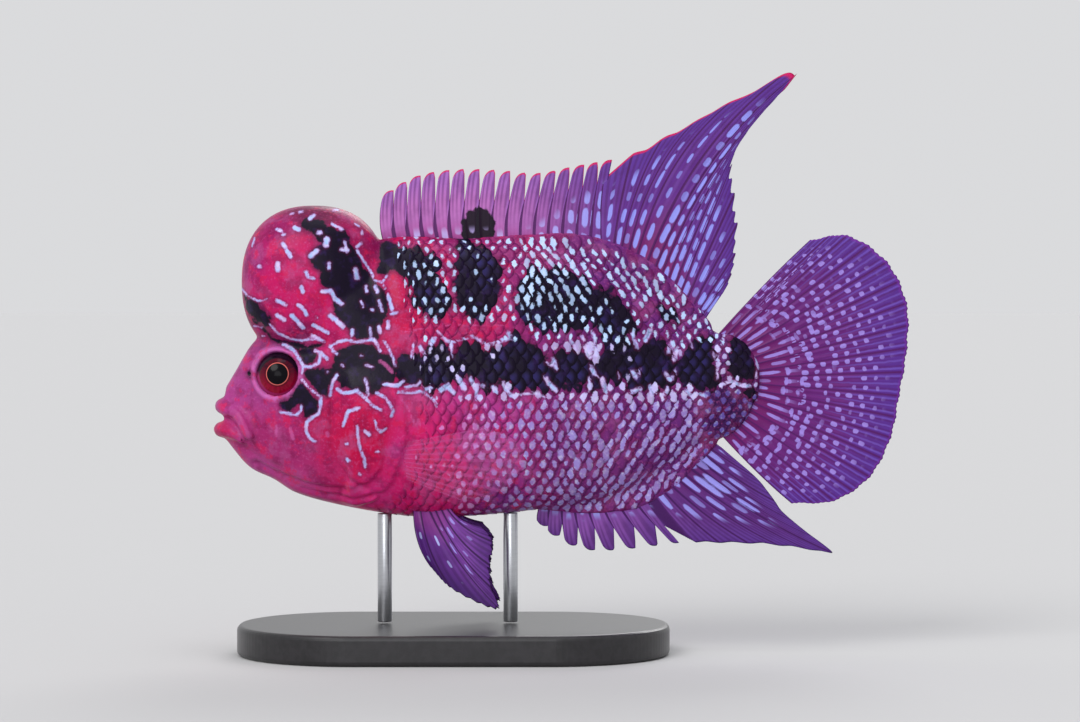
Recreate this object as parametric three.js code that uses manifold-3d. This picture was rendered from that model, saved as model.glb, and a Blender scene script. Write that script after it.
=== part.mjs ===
// Flowerhorn cichlid, life size, as a still display model on a plain stand.
// Millimetres, +Z up, head towards -X, the fish's left side towards -Y.
// The origin lies on the floor, under the middle of the model.
import * as THREE from "three";
import { mergeVertices } from "three/addons/utils/BufferGeometryUtils.js";
import Module from "manifold-3d";

const wasm = await Module();
wasm.setup();

// Driving dimensions
const GAP = 0.3; // between pieces that meet
const FAR = 40; // reach of a cutting shape past the body
const BODY_START = -56; // front of the snout, behind the lips
const BODY_END = 33; // last scales on the tail base
const BODY_RINGS = 44;
const BODY_SIDES = 28;
const MEMBRANE = 0.26; // half thickness of fin skin
const RAY_TIP = 0.3;
const FIN_ROWS = 6;

// Side outline and plan of the body: place along the fish, then the size there
const BACK = [
  [-56, 44.4], [-54.2, 47.4], [-51.5, 51.8], [-43.6, 58.6], [-36.5, 65.2], [-30, 69.1], [-18.6, 69.3],
  [-6.9, 68.4], [3.1, 66.1], [13.1, 61.3], [21, 55.4], [25, 53.7], [28.5, 53.2], [31, 51.5], [33, 48.3],
];
const BELLY = [
  [-56, 35.8], [-52.1, 31.2], [-47.9, 29.1], [-44.4, 26.9], [-36.9, 24.8], [-27.8, 23.2], [-21.9, 22.8],
  [-13.6, 23.1], [-2.6, 24.2], [4.8, 25.4], [11.4, 27.8], [17.2, 31.4], [22.6, 35], [27, 36], [30.5, 38.6],
  [33, 43.6],
];
const HALF_WIDTH = [
  [-56, 2.6], [-54, 4.1], [-50, 6], [-46, 7.4], [-40, 9], [-34, 9.9], [-28, 10.2], [-20, 9.9], [-10, 9],
  [0, 7.5], [10, 5.8], [18, 4.2], [25, 2.9], [30, 2], [33, 1.1],
];
const WIDEST_SHARE = [[-56, 0.45], [-30, 0.42], [0, 0.44], [33, 0.5]]; // height of the widest line

const HUMP = { x: -41.2, z: 61.9, long: 12.1, wide: 8.7, high: 12.8, squareness: 2.35 };
const EYE = { x: -47.2, y: 5.4, z: 46.5, radius: 3.9, depth: 2.6 };
const ORBIT = { y: 6.2, radius: 3.85, thick: 0.55, turnForward: 0.2, turnUp: 0.13 };
const NOSTRIL = { x: -52.3, y: 4.55, z: 46.4, radius: 0.65 };
const STAND = { x: -18, length: 72, width: 42, thick: 5, corner: 20, rod: 1.2, rodPlaces: [-29.5, -8.5] };

const COLOURS = {
  flesh: 0xb02a63, hump: 0xa01d4f, gillCover: 0xb3173f, tail: 0x4a2148, fin: 0x5a3a8c, paleFin: 0xc79ad0,
  eye: 0x7a0c24, stand: 0x26221f, rod: 0xb9bcc0,
};

// Solids and meshes

function volumeOf(points, faces) {
  let six = 0;
  for (const [a, b, c] of faces) {
    six += points[a].dot(points[b].clone().cross(points[c]));
  }
  return six / 6;
}

// A closed surface as a solid, turned so that its faces point out
function solidFromFaces(points, faces) {
  const inward = volumeOf(points, faces) < 0;
  const triVerts = new Uint32Array(faces.flatMap(([a, b, c]) => (inward ? [a, c, b] : [a, b, c])));
  const vertProperties = new Float32Array(points.flatMap((p) => [p.x, p.y, p.z]));
  return new wasm.Manifold(new wasm.Mesh({ numProp: 3, vertProperties, triVerts }));
}

function solidFromGeometry(geometry) {
  const bare = geometry.index ? geometry.toNonIndexed() : geometry.clone();
  bare.deleteAttribute("normal");
  bare.deleteAttribute("uv");
  const merged = mergeVertices(bare, 1e-4);
  return new wasm.Manifold(
    new wasm.Mesh({
      numProp: 3,
      vertProperties: merged.attributes.position.array,
      triVerts: new Uint32Array(merged.index.array),
    }),
  );
}

function largestPiece(solid) {
  return solid.decompose().reduce((best, s) => (s.volume() > best.volume() ? s : best));
}

function meshOf(name, solid, colour, roughness = 0.4) {
  const made = largestPiece(solid).getMesh();
  const geometry = new THREE.BufferGeometry();
  geometry.setAttribute("position", new THREE.BufferAttribute(new Float32Array(made.vertProperties), 3));
  geometry.setIndex(new THREE.BufferAttribute(new Uint32Array(made.triVerts), 1));
  geometry.computeVertexNormals();
  const material = new THREE.MeshStandardMaterial({ color: colour, roughness, metalness: 0 });
  const mesh = new THREE.Mesh(geometry, material);
  mesh.name = name;
  return mesh;
}

// Smooth value at x through [place, value] pairs
function along(pairs, x) {
  const last = pairs.length - 1;
  const held = Math.min(Math.max(x, pairs[0][0]), pairs[last][0]);
  let i = 0;
  while (i < last - 1 && held > pairs[i + 1][0]) i += 1;
  const slopeAt = (k) => {
    const before = pairs[Math.max(k - 1, 0)];
    const after = pairs[Math.min(k + 1, last)];
    return (after[1] - before[1]) / (after[0] - before[0]);
  };
  const [x0, y0] = pairs[i];
  const [x1, y1] = pairs[i + 1];
  const span = x1 - x0;
  const t = (held - x0) / span;
  const rise = t * t * (3 - 2 * t);
  return (
    y0 * (1 - rise) + y1 * rise +
    span * (slopeAt(i) * t * (1 - t) ** 2 - slopeAt(i + 1) * t * t * (1 - t))
  );
}

// Body

function powered(value, power) {
  return Math.sign(value) * Math.abs(value) ** power;
}

// A point of the body's skin, turn 0 at the fish's right side and a quarter turn at its back
function bodyPoint(x, turn, grow = 0) {
  const top = along(BACK, x) + grow;
  const bottom = along(BELLY, x) - grow;
  const width = along(HALF_WIDTH, x) + grow;
  const middle = bottom + (top - bottom) * along(WIDEST_SHARE, x);
  const up = Math.sin(turn);
  const out = powered(Math.cos(turn), up > 0 ? 1.1 : 0.92);
  return new THREE.Vector3(x, width * out, middle + up * (up > 0 ? top - middle : middle - bottom));
}

function ringLoft(rings) {
  const sides = rings[0].length;
  const points = rings.flat();
  const faces = [];
  for (let r = 0; r + 1 < rings.length; r += 1) {
    for (let s = 0; s < sides; s += 1) {
      const a = r * sides + s;
      const b = r * sides + ((s + 1) % sides);
      faces.push([a, b, a + sides], [b, b + sides, a + sides]);
    }
  }
  const middleOf = (ring) => ring.reduce((sum, p) => sum.add(p), new THREE.Vector3()).divideScalar(sides);
  const front = points.push(middleOf(rings[0])) - 1;
  const rear = points.push(middleOf(rings.at(-1))) - 1;
  const last = (rings.length - 1) * sides;
  for (let s = 0; s < sides; s += 1) {
    const next = (s + 1) % sides;
    faces.push([front, next, s], [rear, last + s, last + next]);
  }
  return solidFromFaces(points, faces);
}

function bodySolid(grow = 0) {
  const rings = [];
  for (let r = 0; r <= BODY_RINGS; r += 1) {
    const t = r / BODY_RINGS;
    const x = BODY_START + (BODY_END - BODY_START) * (t - 0.025 * Math.sin(4 * Math.PI * t));
    const ring = [];
    for (let s = 0; s < BODY_SIDES; s += 1) {
      const p = bodyPoint(x, (2 * Math.PI * s) / BODY_SIDES, grow);
      if (r === 0) p.x -= grow;
      if (r === BODY_RINGS) p.x += grow;
      ring.push(p);
    }
    rings.push(ring);
  }
  return ringLoft(rings);
}

// The swelling on the forehead: a ball made a little square
function humpSolid(grow = 0) {
  const ball = new THREE.SphereGeometry(1, 22, 14);
  const place = ball.attributes.position;
  const power = 2 / HUMP.squareness;
  for (let i = 0; i < place.count; i += 1) {
    const p = new THREE.Vector3().fromBufferAttribute(place, i);
    const level = Math.hypot(p.x, p.z) || 1e-9; // three.js builds its ball about +Y
    const height = powered(p.y, power);
    const round = powered(level, power);
    place.setXYZ(
      i,
      HUMP.x + (HUMP.long + grow) * powered(p.x / level, power) * round,
      (HUMP.wide + grow) * powered(p.z / level, 1) * round,
      HUMP.z + (HUMP.high + grow) * height,
    );
  }
  const points = [];
  const merged = mergeVertices(
    new THREE.BufferGeometry().setAttribute("position", place).setIndex(ball.index),
    1e-4,
  );
  const spots = merged.attributes.position;
  for (let i = 0; i < spots.count; i += 1) points.push(new THREE.Vector3().fromBufferAttribute(spots, i));
  const faces = [];
  for (let i = 0; i < merged.index.count; i += 3) {
    const [a, b, c] = [0, 1, 2].map((k) => merged.index.getX(i + k));
    if (a !== b && b !== c && c !== a) faces.push([a, b, c]);
  }
  return solidFromFaces(points, faces);
}

// A round bar along points whose radius is given at each point
function barAlong(places, radii, steps = 14, sides = 8) {
  const curve = new THREE.CatmullRomCurve3(places);
  const rings = [];
  for (let r = 0; r <= steps; r += 1) {
    const t = r / steps;
    const centre = curve.getPoint(t);
    const ahead = curve.getTangent(t);
    const side = new THREE.Vector3(0, 0, 1).cross(ahead).normalize();
    const up = ahead.clone().cross(side);
    const radius = along(radii, t);
    rings.push(
      Array.from({ length: sides }, (_, s) => {
        const turn = (2 * Math.PI * s) / sides;
        return centre.clone().addScaledVector(side, radius * Math.cos(turn))
          .addScaledVector(up, radius * Math.sin(turn));
      }),
    );
  }
  return ringLoft(rings);
}

function lip(halfPath, radii) {
  const right = halfPath.slice(1).map(([x, y, z]) => new THREE.Vector3(x, y, z));
  const left = right.map((p) => new THREE.Vector3(p.x, -p.y, p.z)).reverse();
  const [x, y, z] = halfPath[0];
  return barAlong([...left, new THREE.Vector3(x, y, z), ...right], radii);
}

function eyeBall(side, grow = 0) {
  const ball = new THREE.SphereGeometry(1, 16, 10);
  ball.scale(EYE.radius + grow, EYE.depth + grow, EYE.radius + grow);
  ball.rotateZ(side * ORBIT.turnForward).rotateX(side * ORBIT.turnUp);
  ball.translate(EYE.x, side * EYE.y, EYE.z);
  return solidFromGeometry(ball);
}

function orbitRim(side) {
  const ring = new THREE.TorusGeometry(ORBIT.radius, ORBIT.thick, 6, 20);
  ring.rotateX(Math.PI / 2).rotateZ(side * ORBIT.turnForward).rotateX(side * ORBIT.turnUp);
  ring.translate(EYE.x, side * ORBIT.y, EYE.z);
  return solidFromGeometry(ring);
}

function nostrilPit(side) {
  const pit = new THREE.SphereGeometry(NOSTRIL.radius, 10, 8);
  pit.translate(NOSTRIL.x, side * NOSTRIL.y, NOSTRIL.z);
  return solidFromGeometry(pit);
}

// A side outline drawn in X and Z, carried across the fish from one Y to another
function acrossFish(outline, fromY, toY) {
  const shape = new THREE.Shape(outline.map(([x, z]) => new THREE.Vector2(x, z)));
  const block = new THREE.ExtrudeGeometry(shape, { depth: toY - fromY, bevelEnabled: false });
  block.rotateX(Math.PI / 2).translate(0, toY, 0);
  return solidFromGeometry(block);
}

// A thin cut that follows a line in the side view
function thinCut(line, thick = GAP) {
  const curve = new THREE.CatmullRomCurve3(line.map(([x, z]) => new THREE.Vector3(x, 0, z)));
  const above = [];
  const below = [];
  const steps = 14;
  for (let i = 0; i <= steps; i += 1) {
    const p = curve.getPoint(i / steps);
    const t = curve.getTangent(i / steps);
    above.push([p.x - (t.z * thick) / 2, p.z + (t.x * thick) / 2]);
    below.push([p.x + (t.z * thick) / 2, p.z - (t.x * thick) / 2]);
  }
  return acrossFish([...above, ...below.reverse()], -FAR, FAR);
}

const GILL_LINE = [
  [-29.6, 74], [-29.4, 66], [-28.2, 59], [-26.9, 50.7], [-25.8, 42.3], [-25.9, 35.7], [-27.6, 30.7],
  [-31.1, 26.6], [-36.4, 22.5], [-40, 18],
];
const MOUTH_LINE = [
  [-61, 39.6], [-56.5, 39.2], [-53.9, 38], [-51.6, 36], [-50, 33.2], [-48.6, 28.5], [-47.6, 22],
];
const UPPER_JAW_LINE = [
  [-61, 45.2], [-56.2, 43.6], [-53.5, 42], [-51.3, 39], [-49.9, 35.6], [-49.3, 31.8], [-49, 28.6],
];
const TAIL_LINE = [[20.4, 80], [20.4, 50], [20.4, 10]];

function fleshPieces() {
  const upperLip = lip(
    [[-56.5, 0, 41.4], [-55.6, 2.6, 40.9], [-53.6, 4.2, 39.4], [-51.5, 5, 36.9]],
    [[0, 0.8], [0.5, 1.35], [1, 0.8]],
  );
  const lowerLip = lip(
    [[-56.7, 0, 37.4], [-55.6, 2.5, 37.2], [-53.8, 4, 36.4], [-52, 4.7, 35]],
    [[0, 0.8], [0.5, 1.3], [1, 0.8]],
  );
  let flesh = bodySolid().add(upperLip).add(lowerLip);
  for (const side of [-1, 1]) {
    flesh = flesh.add(orbitRim(side)).subtract(eyeBall(side, GAP)).subtract(nostrilPit(side));
  }
  for (const line of [GILL_LINE, MOUTH_LINE, UPPER_JAW_LINE, TAIL_LINE]) {
    flesh = flesh.subtract(thinCut(line));
  }
  const midX = (s) => (s.boundingBox().min[0] + s.boundingBox().max[0]) / 2;
  const parts = flesh.decompose().filter((s) => s.volume() > 5);
  const [tailBase, trunk, head, ...jaws] = parts.sort((a, b) => midX(b) - midX(a));
  jaws.sort((a, b) => b.boundingBox().max[2] - a.boundingBox().max[2]);
  return { head, trunk, tailBase, upperJaw: jaws[0], lowerJaw: jaws[1] };
}

// Gill covers: a plate on each cheek, a little proud of the body, that ends at the gill opening
const COVER = { proud: 0.45, deep: 1.3, inside: 2.5 };
const COVER_OUTLINE = [
  [-37.4, 50.6], [-34.5, 52.4], [-30, 52.6], [-27.3, 50.6], [-26.5, 46.5], [-26.15, 42.3], [-26.2, 35.9],
  [-27.9, 31], [-31.3, 27.2], [-35.5, 25.6], [-38.6, 27.5], [-38.9, 31], [-38, 34.5], [-38.3, 42.5],
];

function coverOutline(grow) {
  const round = new THREE.CatmullRomCurve3(COVER_OUTLINE.map(([x, z]) => new THREE.Vector3(x, 0, z)), true);
  const steps = 36;
  return Array.from({ length: steps }, (_, i) => {
    const p = round.getPoint(i / steps);
    const t = round.getTangent(i / steps); // the outline runs clockwise, so its outer side is (-t.z, t.x)
    return [p.x - t.z * grow, p.z + t.x * grow];
  });
}

function gillCover(side, grow = 0) {
  const near = COVER.inside - grow;
  const [from, to] = side > 0 ? [near, FAR] : [-FAR, -near];
  const shell = bodySolid(COVER.proud + grow).subtract(bodySolid(-COVER.deep - grow));
  return shell.intersect(acrossFish(coverOutline(grow), from, to));
}

// Fins

// Two faces over the same grid of rays and rows, closed round the rim. Each ray has its root, its tip,
// how far it bows on the way, and half its thickness at either end
function finSolid(rays, outAt, rows = FIN_ROWS) {
  const columns = rays.length;
  const points = [];
  for (const face of [1, -1]) {
    for (const r of rays) {
      for (let k = 0; k <= rows; k += 1) {
        const v = k / rows;
        const p = r.root.clone().lerp(r.tip, v).addScaledVector(r.bow, 4 * v * (1 - v));
        const half = r.rootThick + (r.tipThick - r.rootThick) * Math.sqrt(v);
        points.push(p.addScaledVector(outAt(r, v), face * half));
      }
    }
  }
  const high = rows + 1;
  const under = columns * high;
  const faces = [];
  for (let c = 0; c + 1 < columns; c += 1) {
    for (let k = 0; k < rows; k += 1) {
      const a = c * high + k;
      const b = a + high;
      faces.push([a, b, a + 1], [b, b + 1, a + 1]);
      faces.push([a + under, a + 1 + under, b + under], [b + under, a + 1 + under, b + 1 + under]);
    }
    for (const [k, way] of [[0, 1], [rows, -1]]) {
      const a = c * high + k;
      const b = a + high;
      if (way > 0) faces.push([a, a + under, b], [b, a + under, b + under]);
      else faces.push([a, b, a + under], [b, b + under, a + under]);
    }
  }
  for (const [c, way] of [[0, -1], [columns - 1, 1]]) {
    for (let k = 0; k < rows; k += 1) {
      const a = c * high + k;
      if (way > 0) faces.push([a, a + under, a + 1], [a + 1, a + under, a + 1 + under]);
      else faces.push([a, a + 1, a + under], [a + 1, a + 1 + under, a + under]);
    }
  }
  return solidFromFaces(points, faces);
}

const SIDEWAYS = new THREE.Vector3(0, 1, 0);

// A spiny stretch: every spine carries a pointed flap of skin, with a slit before the next one
function spinyRays({ roots, tips, bow, count, notch, flap }) {
  const rays = [];
  for (let i = 0; i < count; i += 1) {
    const at = (f) => (i + f) / count;
    const rootAt = (f) => roots.getPoint(Math.min(at(f), 1));
    const tip = tips.getPoint(at(0.75));
    const flat = (root, end, half, fine) =>
      rays.push({ root, tip: end, bow, rootThick: half, tipThick: fine });
    const depth = notch[0] + (notch[1] - notch[0]) * at(0);
    flat(rootAt(0), tip.clone().add(flap.front), 0.62, 0.3);
    flat(rootAt(0.35), tip.clone().add(flap.middle), MEMBRANE + 0.04, MEMBRANE - 0.02);
    flat(rootAt(0.72), tip.clone(), MEMBRANE, MEMBRANE - 0.06);
    const low = rootAt(0.94);
    flat(low, low.clone().lerp(tips.getPoint(at(0.94)), depth), MEMBRANE, MEMBRANE);
  }
  return rays;
}

// A soft stretch: thick rays with thin skin between them. bowAt tells how far a ray bends, first to last
function softRays({ roots, tips, bowAt, count, ridge = 0.5, dip = 0.02 }) {
  const rays = [];
  for (let i = 0; i < count; i += 1) {
    const t = i / (count - 1);
    rays.push({
      root: roots.getPoint(t), tip: tips.getPoint(t), bow: bowAt(t), rootThick: ridge, tipThick: RAY_TIP,
    });
    if (i + 1 < count) {
      const half = (i + 0.5) / (count - 1);
      const root = roots.getPoint(half);
      const tip = root.clone().lerp(tips.getPoint(half), 1 - dip);
      rays.push({ root, tip, bow: bowAt(half), rootThick: MEMBRANE, tipThick: MEMBRANE - 0.05 });
    }
  }
  return rays;
}

const inSide = (pairs) => new THREE.CatmullRomCurve3(pairs.map(([x, z]) => new THREE.Vector3(x, 0, z)));
const ROOT_SUNK = 2.2; // fin roots start this deep in the body before they are cut to it

const onBack = (x) => [x, along(BACK, x) - ROOT_SUNK];
const onBelly = (x) => [x, along(BELLY, x) + ROOT_SUNK];

function dorsalFin() {
  const spines = spinyRays({
    roots: inSide([-29.2, -20, -11, -2, 7.4].map(onBack)),
    tips: inSide([[-29.6, 76.2], [-25.4, 79], [-19, 80.5], [-9, 80.5], [-2, 80], [3.6, 81.7], [9, 82.4]]),
    bow: new THREE.Vector3(-0.7, 0, 0),
    count: 16,
    notch: [0.42, 0.86],
    flap: { front: new THREE.Vector3(-1.6, 0, -2), middle: new THREE.Vector3(-1, 0, -0.5) },
  });
  const longest = new THREE.Vector3(-2.6, 0, 2.8);
  const soft = softRays({
    roots: inSide([8, 12, 16.5, 20, 22.4].map(onBack)),
    tips: inSide([
      [11.8, 83.3], [19.4, 87.4], [28.5, 92.4], [39.5, 97.4], [36.6, 93.7], [31.2, 88.2], [28.7, 82.4],
      [29.4, 74.5], [29.2, 67], [28, 62], [24.2, 56.6],
    ]),
    bowAt: (t) => longest.clone().multiplyScalar(Math.sin(Math.PI * Math.min(1, 0.1 + 1.5 * t)) ** 1.5),
    count: 16,
  });
  return finSolid([...spines, ...soft], () => SIDEWAYS);
}

function analFin() {
  const spines = spinyRays({
    roots: inSide([-3.2, 1.5, 6.5, 12].map(onBelly)),
    tips: inSide([[-3.2, 22.6], [-0.6, 20], [4, 17.6], [9, 17.3], [14.8, 17.9], [20.6, 18.6]]),
    bow: new THREE.Vector3(-0.3, 0, -0.4),
    count: 8,
    notch: [0.5, 0.8],
    flap: { front: new THREE.Vector3(-2.1, 0, 0.9), middle: new THREE.Vector3(-1.2, 0, 0) },
  });
  const soft = softRays({
    roots: inSide([12.6, 16, 19.5, 22.8].map(onBelly)),
    tips: inSide([
      [22.2, 18.5], [27.5, 18.4], [33.9, 18.2], [40, 17.5], [45.2, 16.8], [41, 20.2], [37, 23.6],
      [33.4, 28.4], [26.8, 34.3],
    ]),
    bowAt: (t) => new THREE.Vector3(-0.6 * (1 - t), 0, -1.3 * Math.sin(Math.PI * t)),
    count: 11,
  });
  return finSolid([...spines, ...soft], () => SIDEWAYS);
}

function caudalFin() {
  const rays = softRays({
    roots: inSide([[24.5, 51.5], [28.5, 49.5], [29.8, 46], [29.3, 42.5], [25, 38.2]]),
    tips: inSide([
      [41.4, 69], [47.6, 69.8], [54.3, 65.4], [57.6, 58.5], [57.7, 51], [56.4, 43], [55, 36], [51.5, 29.4],
      [45.5, 25.4], [38.4, 25],
    ]),
    bowAt: (t) => new THREE.Vector3(0.4, 0, 0.9 * (1 - 2 * t) ** 3),
    count: 19,
    ridge: 0.9,
    dip: 0.012,
  });
  return finSolid(rays, () => SIDEWAYS);
}

function pelvicFin(side) {
  const tips = [
    [-21.6, 15], [-18.2, 11.4], [-10.3, 8], [-11.4, 11.2], [-11.7, 15], [-11.3, 19], [-13.2, 21.6],
  ];
  const roots = [-24.6, -23.6, -22.5, -21.4, -20.4, -19.5, -18.7];
  const curveOf = (pairs) =>
    new THREE.CatmullRomCurve3(pairs.map(([x, y, z]) => new THREE.Vector3(x, side * y, z)));
  const rays = softRays({
    roots: curveOf(roots.map((x, i) => [x, 2.9 + 0.12 * i, along(BELLY, x) + 2.4])),
    tips: curveOf(tips.map(([x, z], i) => [x, 7.6 - 0.45 * i, z])),
    bowAt: () => new THREE.Vector3(-0.9, side * 0.5, -0.5),
    count: 7,
    ridge: 0.5,
  });
  const out = new THREE.Vector3(0.1, side, 0.25).normalize();
  return finSolid(rays, () => out);
}

function pectoralFin(side) {
  const curveOf = (pairs) =>
    new THREE.CatmullRomCurve3(pairs.map(([x, y, z]) => new THREE.Vector3(x, side * y, z)));
  const rays = softRays({
    roots: curveOf([[-26.2, 9.1, 35.6], [-26, 9.2, 33.4], [-25.8, 9.2, 31.4], [-25.6, 9, 29.6]]),
    tips: curveOf([
      [-12.5, 15.6, 38.4], [-7.6, 17.6, 36.4], [-6.4, 17.9, 33], [-8, 16.9, 29.6], [-12, 14.8, 27],
      [-16.6, 12.8, 26.4],
    ]),
    bowAt: () => new THREE.Vector3(0, side * 0.8, 0),
    count: 11,
    ridge: 0.42,
  });
  const out = new THREE.Vector3(-0.42, side, 0).normalize();
  return finSolid(rays, () => out);
}

// Stand

function standBase() {
  const half = { x: STAND.length / 2, y: STAND.width / 2 };
  const r = STAND.corner;
  const outline = new THREE.Shape()
    .moveTo(-half.x + r, -half.y)
    .lineTo(half.x - r, -half.y)
    .absarc(half.x - r, -half.y + r, r, -Math.PI / 2, 0)
    .lineTo(half.x, half.y - r)
    .absarc(half.x - r, half.y - r, r, 0, Math.PI / 2)
    .lineTo(-half.x + r, half.y)
    .absarc(-half.x + r, half.y - r, r, Math.PI / 2, Math.PI)
    .lineTo(-half.x, -half.y + r)
    .absarc(-half.x + r, -half.y + r, r, Math.PI, 1.5 * Math.PI);
  const bevel = 0.8;
  const plate = new THREE.ExtrudeGeometry(outline, {
    depth: STAND.thick - 2 * bevel,
    bevelSize: bevel,
    bevelThickness: bevel,
    bevelSegments: 1,
    bevelOffset: -bevel,
    curveSegments: 8,
  });
  plate.translate(STAND.x, 0, bevel);
  return solidFromGeometry(plate);
}

function standRod(x) {
  const top = along(BELLY, x) + 2;
  const bottom = STAND.thick + GAP;
  const rod = new THREE.CylinderGeometry(STAND.rod, STAND.rod, top - bottom, 16);
  rod.rotateX(Math.PI / 2).translate(x, 0, (top + bottom) / 2);
  return solidFromGeometry(rod);
}

// The whole fish

const model = new THREE.Group();
const bodyClear = bodySolid(GAP);
const humpClear = humpSolid(GAP);
const flesh = fleshPieces();

let head = flesh.head;
for (const side of [-1, 1]) head = head.subtract(gillCover(side, GAP));

const add = (name, solid, colour, roughness) => model.add(meshOf(name, solid, colour, roughness));

add("head", head, COLOURS.flesh);
add("nuchal_hump", humpSolid().subtract(bodyClear), COLOURS.hump);
add("upper_jaw", flesh.upperJaw, COLOURS.flesh);
add("lower_jaw", flesh.lowerJaw, COLOURS.flesh);
add("trunk", flesh.trunk, COLOURS.flesh);
add("tail_base", flesh.tailBase, COLOURS.tail);
add("dorsal_fin", dorsalFin().subtract(bodyClear).subtract(humpClear), COLOURS.fin);
add("anal_fin", analFin().subtract(bodyClear), COLOURS.fin);
add("caudal_fin", caudalFin().subtract(bodyClear), COLOURS.fin);
for (const [end, side] of [["left", -1], ["right", 1]]) {
  add(`gill_cover_${end}`, gillCover(side), COLOURS.gillCover);
  add(`eye_${end}`, eyeBall(side), COLOURS.eye, 0.1);
  add(`pelvic_fin_${end}`, pelvicFin(side).subtract(bodyClear), COLOURS.fin);
  add(`pectoral_fin_${end}`, pectoralFin(side).subtract(bodyClear), COLOURS.paleFin);
}
add("stand_base", standBase(), COLOURS.stand);
STAND.rodPlaces.forEach((x, i) => {
  add(i === 0 ? "stand_rod_front" : "stand_rod_rear", standRod(x).subtract(bodyClear), COLOURS.rod, 0.25);
});

export default model;
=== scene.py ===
import math
import random

import bmesh
import bpy
import numpy as np
from mathutils import Matrix, Vector
from mathutils.bvhtree import BVHTree


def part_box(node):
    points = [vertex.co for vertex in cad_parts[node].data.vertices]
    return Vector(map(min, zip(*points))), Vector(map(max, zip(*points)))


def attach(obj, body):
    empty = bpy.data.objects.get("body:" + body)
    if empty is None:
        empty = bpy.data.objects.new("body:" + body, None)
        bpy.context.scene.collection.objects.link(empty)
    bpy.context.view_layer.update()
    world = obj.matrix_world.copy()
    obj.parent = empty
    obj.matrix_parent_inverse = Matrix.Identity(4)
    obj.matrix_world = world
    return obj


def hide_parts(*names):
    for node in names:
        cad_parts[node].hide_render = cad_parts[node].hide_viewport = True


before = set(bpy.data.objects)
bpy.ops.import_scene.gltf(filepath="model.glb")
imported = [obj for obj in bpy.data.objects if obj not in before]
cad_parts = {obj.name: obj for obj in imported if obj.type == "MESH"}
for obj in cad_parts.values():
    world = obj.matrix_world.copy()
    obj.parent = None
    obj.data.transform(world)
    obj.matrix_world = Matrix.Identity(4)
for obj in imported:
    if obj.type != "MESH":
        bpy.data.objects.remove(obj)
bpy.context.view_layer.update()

# Shapes are worked out in millimetres and made metres at the end. The head points to -X, the left side to -Y
mm = 0.001
photo = {"pixelsPerMm": 6.0, "middle": 561.5, "floor": 654.0}  # where the frame's X = 0 and Z = 0 lie in it
dice = random.Random(7)


def fromPhoto(px, py):
    return (px - photo["middle"]) / photo["pixelsPerMm"], (photo["floor"] - py) / photo["pixelsPerMm"]


# What stands nearer to the camera looks a little larger
def toPhoto(x, z, y=0.0):
    near = 1 / (1 - np.abs(y) / viewDistance())
    x = view["centre"][0] + (x - view["centre"][0]) * near
    z = view["centre"][1] + (z - view["centre"][1]) * near
    return x * photo["pixelsPerMm"] + photo["middle"], photo["floor"] - z * photo["pixelsPerMm"]


# Camera, light and floor
view = {
    "lens": 110.0, "sensor": 36.0, "centre": (-3.6, 48.8), "lift": 1.2, "frameWidth": 180.0, "floorSize": 9.0,
}
studio = {
    "air": (0.975, 0.98, 1.0), "airPower": 0.72, "spread": 32,
    "key": {"place": (-260, -420, 400), "power": 1.4, "tint": (1.0, 0.985, 0.98)},
    "fill": {"place": (-60, -420, 50), "power": 0.5, "tint": (0.95, 0.96, 1.0)},
    "top": {"place": (40, -60, 460), "power": 0.55, "tint": (0.96, 0.97, 1.0)},
    "back": {"place": (120, 420, 300), "power": 0.9, "tint": (1.0, 1.0, 1.0)},
}


def viewDistance():
    return view["frameWidth"] / 2 / (view["sensor"] / 2 / view["lens"])


def placeCamera():
    distance = viewDistance()
    lift = math.radians(view["lift"])
    aim = Vector((view["centre"][0], 0, view["centre"][1]))
    data = bpy.data.cameras.new("camera")
    data.lens, data.sensor_width = view["lens"], view["sensor"]
    data.clip_start, data.clip_end = 0.01, 50
    camera = bpy.data.objects.new("camera", data)
    bpy.context.scene.collection.objects.link(camera)
    camera.location = (aim + Vector((0, -math.cos(lift), math.sin(lift))) * distance) * mm
    camera.rotation_euler = (math.pi / 2 - lift, 0, 0)
    bpy.context.scene.camera = camera


def lightStudio():
    world = bpy.data.worlds.new("studio")
    world.use_nodes = True
    air = world.node_tree.nodes["Background"]
    air.inputs["Color"].default_value = (*studio["air"], 1)
    air.inputs["Strength"].default_value = studio["airPower"]
    bpy.context.scene.world = world
    bpy.context.scene.view_settings.view_transform = "Standard"
    for name in ("key", "fill", "top", "back"):
        lamp = studio[name]
        data = bpy.data.lights.new(name, "SUN")
        data.angle, data.energy, data.color = math.radians(studio["spread"]), lamp["power"], lamp["tint"]
        light = bpy.data.objects.new(name, data)
        light.location = Vector(lamp["place"]) * mm
        light.rotation_euler = (-light.location).to_track_quat("-Z", "Y").to_euler()
        bpy.context.scene.collection.objects.link(light)


def layFloor():
    bm = bmesh.new()
    bmesh.ops.create_circle(bm, cap_ends=True, segments=96, radius=view["floorSize"])
    floor = newObject("floor", bm, paleFloor(), smooth=False, scale=1)


# Small helpers for meshes
def newObject(name, bm, material, smooth=True, scale=mm):
    if scale != 1:
        bmesh.ops.scale(bm, vec=(scale, scale, scale), verts=bm.verts)
    mesh = bpy.data.meshes.new(name)
    bm.to_mesh(mesh)
    bm.free()
    mesh.materials.append(material)
    mesh.polygons.foreach_set("use_smooth", [smooth] * len(mesh.polygons))
    piece = bpy.data.objects.new(name, mesh)
    bpy.context.scene.collection.objects.link(piece)
    return piece


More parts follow.
